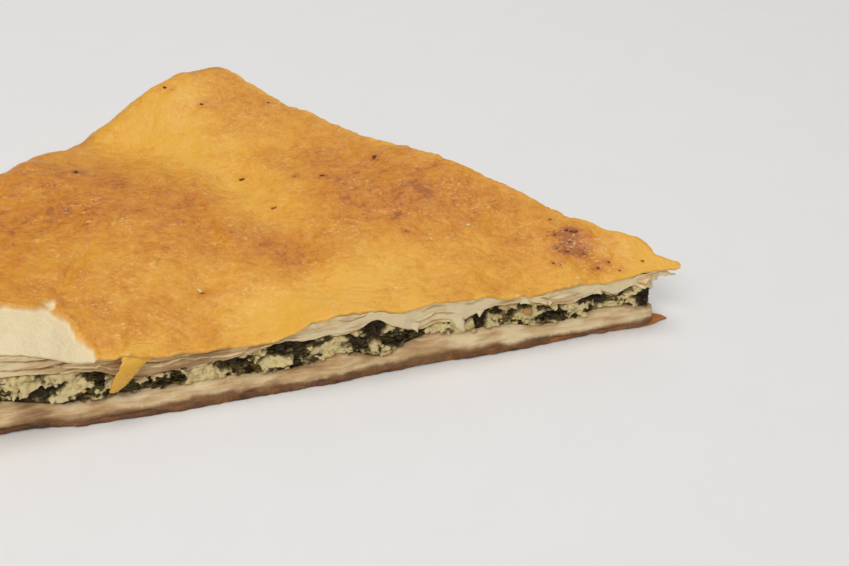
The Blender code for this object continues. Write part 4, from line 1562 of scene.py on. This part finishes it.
@dataclass(frozen=True)
class Mark:
    """A lump of cheese or a clump of spinach in the front cut.

    Args:
        reach: distance from the tip.
        height: height above the foot.
        half_reach: half its width.
        half_height: half its height.
        value: above 0 for cheese, below 0 for spinach.
    """

    reach: float
    height: float
    half_reach: float
    half_height: float
    value: float

    def at(self, reach: Array, height: Array) -> Array:
        """Value times e to the minus fourth power of the distance over the half sizes."""
        away = ((reach - self.reach) / self.half_reach) ** 2
        away = away + ((height - self.height) / self.half_height) ** 2
        return self.value * np.exp(-(away**2))


FRONT_MARKS = (
    Mark(141.0, 12.0, 1.8, 1.2, 0.5),
    Mark(138.0, 10.7, 1.6, 1.1, 0.5),
    Mark(131.0, 8.0, 2.2, 1.3, 0.6),
    Mark(128.0, 9.1, 1.7, 1.2, 0.5),
    Mark(133.0, 6.4, 1.6, 0.8, 0.4),
    Mark(136.0, 9.2, 2.2, 0.8, -0.6),
    Mark(132.0, 5.4, 4.0, 0.7, -0.6),
    Mark(140.0, 7.8, 2.6, 0.9, -0.6),
    Mark(124.6, 10.2, 0.9, 2.4, -0.8),
    Mark(127.0, 6.6, 2.0, 0.8, -0.4),
    Mark(117.0, 6.2, 5.4, 1.1, -0.8),
    Mark(115.0, 8.2, 4.0, 0.6, 0.3),
    Mark(109.5, 6.3, 2.2, 1.0, -0.6),
    Mark(104.0, 6.6, 3.6, 1.5, 0.8),
    Mark(97.4, 8.0, 2.2, 1.2, -0.8),
    Mark(89.6, 6.6, 3.4, 1.3, 0.7),
    Mark(86.6, 10.0, 4.2, 2.0, -0.9),
    Mark(94.0, 10.2, 1.6, 0.8, 0.4),
    Mark(85.0, 5.2, 1.1, 1.5, -0.6),
    Mark(78.0, 7.6, 3.4, 2.2, 0.7),
    Mark(75.5, 9.4, 2.0, 1.1, 0.5),
    Mark(80.5, 9.8, 1.6, 0.8, -0.5),
    Mark(73.0, 6.2, 1.2, 0.9, 0.4),
    Mark(72.0, 3.8, 1.3, 0.9, 0.5),
    Mark(68.0, 11.4, 1.6, 2.8, -1.0),
    Mark(70.5, 8.6, 2.4, 1.0, -0.4),
    Mark(62.5, 6.6, 3.4, 1.3, -0.35),
    Mark(64.5, 9.6, 1.6, 0.8, -0.6),
    Mark(57.8, 8.4, 1.5, 0.8, -0.4),
    Mark(53.5, 8.6, 2.8, 1.2, 0.6),
    Mark(54.0, 10.4, 2.2, 0.7, -0.7),
    Mark(48.0, 7.8, 2.2, 0.9, 0.6),
    Mark(44.0, 8.8, 1.4, 2.9, -0.9),
    Mark(40.2, 10.2, 1.7, 0.9, -0.7),
    Mark(39.5, 8.0, 1.8, 0.8, 0.4),
    Mark(36.0, 12.0, 1.6, 0.6, -0.8),
    Mark(33.0, 8.2, 3.2, 1.2, 0.8),
    Mark(26.5, 6.6, 3.6, 1.0, -0.8),
    Mark(23.5, 8.6, 2.0, 0.9, 0.4),
    Mark(19.0, 9.9, 3.8, 0.8, -0.9),
    Mark(20.0, 7.0, 2.6, 0.8, 0.2),
    Mark(13.2, 7.4, 1.4, 0.8, 0.5),
    Mark(12.0, 9.9, 2.2, 0.7, -0.7),
    Mark(9.8, 8.4, 1.2, 0.8, 0.4),
    Mark(7.0, 10.4, 1.1, 0.7, 0.4),
    Mark(4.2, 7.4, 2.2, 2.4, -1.0),
)


# Distance from the tip, height and radius of the one toasted lump of cheese in the front cut
TOASTED_LUMP = (33.5, 9.2, 0.9)


@dataclass(frozen=True)
class Filling:
    """The filling: a crumbled face at each cut, with shreds of spinach and crumbs of cheese on it.

    Args:
        shape: heights of the pie.
        shreds: spinach shreds for each 10 mm of a cut.
        crumbs: cheese crumbs for each 10 mm of a cut.
        blunt: how far from the tip the filling ends.
    """

    shape: PieShape
    shreds: float = 25.0
    crumbs: float = 24.0
    blunt: float = 3.2

    @property
    def plan(self) -> PiePlan:
        """The wedge's plan."""
        return self.shape.plan

    def levels(self, x: Array, y: Array) -> tuple[Array, Array]:
        """Lower and upper face of the filling."""
        return self.shape.base_top(x, y) + self.shape.gap, self.shape.filling_top(x, y)

    def make_up(self, side: Side, reach: Array, height: Array) -> Array:
        """What the cut shows at a place: 0 for spinach, 1 for cheese, between them for film.

        Args:
            side: the cut.
            reach: distance from the tip.
            height: height above the foot.

        Returns:
            The make-up, from about 0 to 1.
        """
        shift = 300.0 if side is Side.BACK else 0.0
        bend = 0.8 * grain(reach, height, shift, 2.2, 72, 2)
        broad = grain(reach + shift, 1.5 * height + bend, 0.0, 4.2, 70, 2)
        small = grain(reach + bend + shift, 1.3 * height, 7.0, 1.5, 71, 2)
        spread = 0.3 if side is Side.FRONT else 0.45
        field = 0.5 + spread * broad + 0.46 * small
        if side is Side.FRONT:
            field = field + sum(mark.at(reach + 0.5 * bend, height + 0.3 * small) for mark in FRONT_MARKS)
        return np.clip(field, -0.1, 0.88)

    def outward(self, side: Side, reach: Array, height: Array) -> Array:
        """How far the crumbled face stands out: cheese in rounded lumps, spinach in sunken ridges.

        Args:
            side: the cut.
            reach: distance from the tip.
            height: height above the foot.

        Returns:
            Distance out from the cut.
        """
        shift = 300.0 if side is Side.BACK else 0.0
        cheese = smooth(self.make_up(side, reach, height), 0.42, 0.66)
        lumps = 1.0 - np.abs(grain(reach, height, shift, 1.7, 73, 2))
        crumbly = grain(reach, height, shift, 0.7, 74, 2)
        ridges = np.abs(grain(0.6 * reach, 1.5 * height, shift, 1.1, 75, 2))
        broad = 0.5 * grain(reach, height, shift, 5.0, 76)
        cheese_out = -0.75 + 1.1 * lumps + 0.22 * crumbly
        spinach_out = -1.35 + 1.7 * ridges + 0.15 * crumbly
        return broad + spinach_out + (cheese_out - spinach_out) * cheese

    def crumbled_face(self) -> bpy.types.Object:
        """The filling's faces at both cuts, as one rough surface each, over a core that fills the
        inside.

        Returns:
            The piece.
        """
        build = Build()
        for side in Side:
            cut = self.plan.cut(side)
            reach = np.arange(self.blunt, cut.length - 7.0, 0.24)
            s, share = reach[:, None], np.linspace(0.0, 1.0, 34)[None, :]
            x, y = cut.place(s, 0.0 * share)
            low, high = self.levels(x, y)
            height = low - 0.15 + (high - low + 0.3) * share
            out = self.outward(side, s, height)
            out = out - 0.5 * smooth(np.abs(share - 0.5), 0.42, 0.5)
            section = np.stack(np.broadcast_arrays(out, height), axis=2)
            cut_face(build, cut, reach, section, FACE_DEPTH, tone=self.make_up(side, s, height))
        net = self.plan.net(64, 56, 3.2, 6.0)
        x, y = net.loop_x, net.loop_y
        low, high = self.levels(x, y)
        rings = np.array([np.stack([x, y, high + (low - high) * k / 3.0], axis=1) for k in range(4)])
        inner = self.plan.net(32, 28, 5.5, 8.0)
        low, high = self.levels(inner.x, inner.y)
        closed_slab(build, np.stack([inner.x, inner.y, high], axis=2), rings,
                    np.stack([inner.x, inner.y, low], axis=2), tone=lambda p: np.full(len(p), 0.4))
        return build.finish("filling_crumbled", self.plan, FillingPaste().material(), Node.FILLING)

    def spots(self, rng: np.random.Generator, cut: CutLine, density: float) -> tuple[Array, Array, Array]:
        """Scattered places on the filling's face.

        Args:
            rng: source of the places.
            cut: the cut.
            density: places for each 10 mm.

        Returns:
            Distance from the tip, height, and distance out from the cut.
        """
        count = int(density * (cut.length - 14.0) / 10.0)
        reach = self.blunt + 0.6 + (cut.length - 15.0) * rng.uniform(0, 1, count)
        x, y = cut.place(reach, np.zeros(count))
        low, high = self.levels(x, y)
        height = low + 0.3 + np.maximum(high - low - 0.6, 0.2) * rng.uniform(0.0, 1.0, count)
        return reach, height, self.outward(cut.side, reach, height)

    def spinach(self) -> bpy.types.Object:
        """Shreds of cooked spinach: thin crumpled strips, most of them lying along the cut.

        Returns:
            The piece.
        """
        rng = np.random.default_rng(11)
        build = Build()
        rows, around = 8, 8
        for side in Side:
            cut = self.plan.cut(side)
            reach, height, out = self.spots(rng, cut, self.shreds)
            keep = self.make_up(side, reach, height) < rng.uniform(0.35, 0.75, len(reach))
            reach, height, out = reach[keep], height[keep], out[keep]
            count = len(reach)
            x, y = cut.place(reach, out - 0.05)
            centres = np.stack([x, y, height], axis=1)
            along = np.repeat([[*cut.along, 0.0]], count, axis=0)
            along[:, 2] = rng.normal(0.0, 0.35, count)
            length = rng.uniform(0.6, 1.9, count)
            size = np.stack([length, rng.uniform(0.25, 0.75, count), np.full(count, 0.4)], axis=1)
            frames = turned_frames(rng, along, rng.uniform(0.05, 0.25, count), size)
            t = np.linspace(-1.0, 1.0, rows)[None, :, None]
            turn = np.linspace(0.0, 2.0 * pi, around, endpoint=False)[None, None, :]
            bend = rng.normal(0.0, 0.6, (count, 1, 1))
            wave = grain(t * 1.6 + 9.0 * np.arange(count)[:, None, None], 2.0 * np.cos(turn), 0.0, 1.0, 81, 2)
            taper = np.sqrt(np.maximum(1.0 - t**4, 0.02)) * (1.0 + 0.5 * wave)
            px = t + 0.15 * np.cos(turn) * bend
            py = np.cos(turn) * taper
            pz = 0.22 * np.sin(turn) * taper + 0.7 * bend * t**2 + 0.7 * wave + 0.6 * bend * np.cos(turn) ** 2
            pattern = np.stack(np.broadcast_arrays(px, py, pz), axis=3).reshape(count, -1, 3)
            tones = np.clip(rng.beta(1.4, 2.6, count) + 0.05, 0.0, 1.0)
            scatter(build, pattern, tube_faces(rows, around), centres, frames, tones)
        return build.finish("filling_spinach", self.plan, SpinachLeaf().material(), Node.FILLING)

    def cheese(self) -> bpy.types.Object:
        """Crumbs of cheese that stand out of the face, from a quarter of a millimetre to one.

        Returns:
            The piece.
        """
        rng = np.random.default_rng(12)
        build = Build()
        for side in Side:
            cut = self.plan.cut(side)
            reach, height, out = self.spots(rng, cut, self.crumbs)
            keep = self.make_up(side, reach, height) > rng.uniform(0.3, 0.6, len(reach))
            reach, height, out = reach[keep], height[keep], out[keep]
            count = len(reach)
            radius = 0.2 + 0.65 * rng.beta(1.1, 3.0, count)
            x, y = cut.place(reach, out - 0.1 * radius)
            centres = np.stack([x, y, height], axis=1)
            along = np.repeat([[*cut.along, 0.0]], count, axis=0)
            size = radius[:, None] * np.stack([rng.uniform(0.8, 1.6, count), rng.uniform(0.7, 1.1, count),
                                               rng.uniform(0.6, 1.0, count)], axis=1)
            frames = turned_frames(rng, along, np.full(count, 0.6), size)
            lumps, faces = lump_pattern(rng, count, 8, 11, 0.75)
            scatter(build, lumps, faces, centres, frames, rng.beta(1.6, 2.4, count))
        reach, height, radius = TOASTED_LUMP
        x, y = self.plan.cut(Side.FRONT).place(np.array([reach]), np.array([0.2]))
        centre = np.stack([x, y, np.array([height])], axis=1)
        frame = np.diag([1.3 * radius, 0.7 * radius, radius])[None]
        scatter(build, *lump_pattern(rng, 1, 8, 11, 0.4), centre, frame, np.array([1.6]))
        return build.finish("filling_cheese", self.plan, WhiteCheese().material(), Node.FILLING)

    def make(self) -> None:
        """Build every piece of the filling."""
        self.crumbled_face()
        self.spinach()
        self.cheese()


@dataclass(frozen=True)
class BottomCrust:
    """The bottom crust: pale dough over a thin brown layer.

    Args:
        shape: heights of the pie.
        brown: thickness of the brown layer.
    """

    shape: PieShape
    brown: float = 1.8

    @property
    def plan(self) -> PiePlan:
        """The wedge's plan."""
        return self.shape.plan

    def brown_level(self, x: Array, y: Array) -> Array:
        """Upper edge of the brown layer, uneven along the cuts."""
        wave = 0.7 * grain(x, y, 0.0, 6.0, 90, 2) + 0.3 * grain(x, y, 0.0, 1.8, 91, 2)
        return np.clip(self.brown + wave, 0.5, self.shape.base_top(x, y) - 0.25)

    def dough(self) -> bpy.types.Object:
        """The pale part: a core, and at each cut a face with soft folds that browns at the foot.

        Returns:
            The piece.
        """
        build = Build()
        for side in Side:
            cut = self.plan.cut(side)
            reach = np.arange(2.0, cut.length - 0.8, 0.34)
            s, share = reach[:, None], np.linspace(0.0, 1.0, 26)[None, :]
            x, y = cut.place(s, 0.0 * share)
            high = self.shape.base_top(x, y)
            height = 0.35 + (high - 0.35) * share
            shift = 60.0 if side is Side.BACK else 0.0
            fold = np.cos(2.0 * pi * (2.0 * share + 0.9 * grain(s, shift, 0.0, 17.0, 92)))
            rough = 0.45 * grain(s, 1.4 * height, shift, 4.5, 93, 2)
            rough = rough + 0.1 * grain(s, 1.6 * height, shift, 1.1, 94, 2)
            out = 0.05 + 0.14 * fold + rough - 0.9 * smooth(share, 0.86, 1.0) - 0.3 * (1.0 - share) ** 6
            out = out * smooth(s, 0.0, 4.0) - 0.35 * (1.0 - smooth(s, 0.0, 4.0))
            if side is Side.FRONT:
                out = out + self.shape.foot_out(x, y) * (1.0 - share) ** 1.3
            section = np.stack(np.broadcast_arrays(out, height), axis=2)
            tone = 0.42 + 0.3 * grain(s, height, shift, 6.0, 95) + 0.3 * (1.0 - smooth(s, 20.0, 60.0))
            brown = 1.0 - smooth(height - self.brown_level(x, y), -0.9, 1.3)
            cut_face(build, cut, reach, section, FACE_DEPTH, tone=tone, brown=brown)
        net = self.plan.net(144, 120, 3.0, 0.6)
        x, y, normal = net.loop_x, net.loop_y, net.normal
        high = self.shape.base_top(x, y)
        low = np.minimum(self.brown_level(x, y) - 0.4, high - 0.3)
        rings = []
        for k in range(7):
            height = high + (low - high) * k / 6.0
            out = 0.4 * grain(x, y, 1.3 * height, 4.0, 93, 2) - 0.6 * (1.0 - k / 6.0) ** 8
            rings.append(np.stack([x + normal[:, 0] * out, y + normal[:, 1] * out, height], axis=1))
        inner = self.plan.net(36, 30, 5.0, 2.2)
        top = np.stack([inner.x, inner.y, self.shape.base_top(inner.x, inner.y)], axis=2)
        under = np.stack([inner.x, inner.y, np.full(inner.x.shape, 0.5 * self.brown)], axis=2)
        closed_slab(build, top, np.array(rings), under,
                    tone=lambda p: 0.5 + 0.25 * grain(p[:, 0], p[:, 1], p[:, 2], 5.0, 95),
                    brown=lambda p: 1.0 - smooth(self.plan.depths(p[:, 0], p[:, 1])[2], 0.6, 1.6))
        return build.finish("bottom_crust_dough", self.plan, PaleDough("baked_base_dough").material(),
                            Node.BOTTOM_CRUST)

    def underside(self) -> bpy.types.Object:
        """The crisp brown layer that the pie lies on.

        Returns:
            The piece.
        """
        net = self.plan.net(288, 240)
        x, y, normal = net.loop_x, net.loop_y, net.normal
        along = np.hypot(x, y)
        level = np.maximum(0.65 * self.brown_level(x, y), 0.4) * (0.5 + 0.5 * smooth(along, 0.0, 8.0))
        foot = self.shape.foot_out(x, y)
        point = 2.2 * (1.0 - smooth(along, 0.8, 5.0))
        ragged = 0.35 * grain(x, y, 0.0, 2.4, 96, 3) * np.minimum(1.0, along / 5.0)
        rings = []
        for share, bulge in ((1.0, -0.7), (0.96, -0.15), (0.8, 0.1), (0.6, 0.2), (0.4, 0.22), (0.2, 0.1),
                             (0.05, -0.05), (0.0, -0.25)):
            height = level * share
            out = bulge + ragged + 0.18 * grain(x, y, 2.0 * height, 1.2, 97, 2)
            place_x = x + normal[:, 0] * out + point
            place_y = y + normal[:, 1] * out + 0.35 * point - foot * (1.0 - 0.25 * share)
            rings.append(np.stack([place_x, place_y, height], axis=1))
        inner = self.plan.net(36, 30, 2.0, 2.0)
        top = np.stack([inner.x, inner.y, np.full(inner.x.shape, 0.8 * self.brown)], axis=2)
        foot = np.stack([inner.x, inner.y, np.zeros(inner.x.shape)], axis=2)
        build = Build()

        def tone(points: Array) -> Array:
            """Lighter at the tip, as painted light where the tip stands out into the light; darker along the
            middle of the cuts and at the rim.
            """
            _, _, rim = self.plan.depths(points[:, 0], points[:, 1])
            near_tip = np.exp(-np.hypot(points[:, 0], points[:, 1]) / 14.0)
            return 0.42 + 0.45 * near_tip + 0.1 * (1.0 - smooth(rim, 0.0, 8.0))

        closed_slab(build, top, np.array(rings), foot, tone=tone)
        return build.finish("bottom_crust_underside", self.plan, BrownBase().material(), Node.BOTTOM_CRUST)

    def make(self) -> None:
        """Build every piece of the bottom crust."""
        self.dough()
        self.underside()


@dataclass(frozen=True)
class Studio:
    """Floor, lights and camera.

    Args:
        plan: the wedge's plan, which places the camera.
        eye: the camera's place in plan coordinates.
        heading: direction that it looks in plan, turned from +Y towards +X.
        pitch: how far it looks below level.
        roll: its turn about its own line of sight.
        lens: focal length on a sensor 36 mm wide.
    """

    plan: PiePlan
    eye: tuple[float, float, float] = (-136.6, -205.6, 176.0)
    heading: float = radians(21.0)
    pitch: float = radians(35.13)
    roll: float = radians(3.59)
    lens: float = 55.14

    def camera(self) -> None:
        """Set up the camera from its heading, pitch and roll."""
        look = bpy.data.cameras.new("view")
        look.lens = self.lens
        look.sensor_width = 36.0
        look.clip_start = 0.01
        camera = bpy.data.objects.new("view", look)
        bpy.context.scene.collection.objects.link(camera)
        turn = Matrix.Rotation(-self.heading, 4, "Z") @ Matrix.Rotation(pi / 2 - self.pitch, 4, "X")
        place = Vector(self.plan.place(np.array(self.eye)))
        camera.matrix_world = Matrix.Translation(place) @ turn @ Matrix.Rotation(self.roll, 4, "Z")
        bpy.context.scene.camera = camera

    def floor(self) -> None:
        """A plain pale floor, large enough to fill the view."""
        bpy.ops.mesh.primitive_grid_add(x_subdivisions=4, y_subdivisions=4, size=FLOOR_SIZE,
                                        location=(0, 0, -FLOOR_DROP))
        floor = bpy.context.active_object
        floor.name = "floor"
        floor.data.materials.append(PlainPaper().material())
        floor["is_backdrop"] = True

    def area(self, name: str, place: tuple[float, float, float], size: float, power: float,
             colour: Colour) -> None:
        """A square soft light that faces the pie.

        Args:
            name: its name.
            place: where it hangs, in metres.
            size: its side, in metres.
            power: watts.
            colour: its tint.
        """
        lamp = bpy.data.lights.new(name, "AREA")
        lamp.shape = "SQUARE"
        lamp.size = size
        lamp.energy = power
        lamp.color = colour
        light = bpy.data.objects.new(name, lamp)
        bpy.context.scene.collection.objects.link(light)
        light.location = place
        light.rotation_euler = (-Vector(place)).to_track_quat("-Z", "Y").to_euler()

    def make(self) -> None:
        """Set up the whole studio."""
        self.camera()
        self.floor()
        self.area("window", (-0.55, -0.6, 1.0), 0.6, 6.3, (1.0, 0.99, 0.97))
        self.area("ceiling", (0.05, 0.1, 1.25), 0.6, 6.7, (1.0, 0.995, 0.985))
        self.area("far_window", (0.5, 1.15, 0.85), 0.7, 1.3, (0.98, 0.99, 1.0))
        world = bpy.data.worlds.new("room")
        world.use_nodes = True
        world.node_tree.nodes["Background"].inputs["Color"].default_value = (0.93, 0.96, 1.0, 1.0)
        world.node_tree.nodes["Background"].inputs["Strength"].default_value = 0.29
        bpy.context.scene.world = world
        bpy.context.scene.view_settings.view_transform = "Standard"
        bpy.context.scene.view_settings.look = "None"


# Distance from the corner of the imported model's box to the tip of the wedge, in metres
TIP_FROM_BOX = (-0.00213, 0.0025)


def main() -> None:
    """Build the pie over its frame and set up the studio."""
    logging.basicConfig(level=logging.INFO, format="%(message)s")
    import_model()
    low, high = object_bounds()
    plan = PiePlan(tip=(high[0] + TIP_FROM_BOX[0], low[1] + TIP_FROM_BOX[1]))
    shape = PieShape(plan)
    Studio(plan).make()
    for layer in (BottomCrust(shape), Filling(shape), TopCrust(shape)):
        layer.make()
        LOG.info("%s done", type(layer).__name__)
    low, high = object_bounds()


if __name__ == "__main__":
    main()
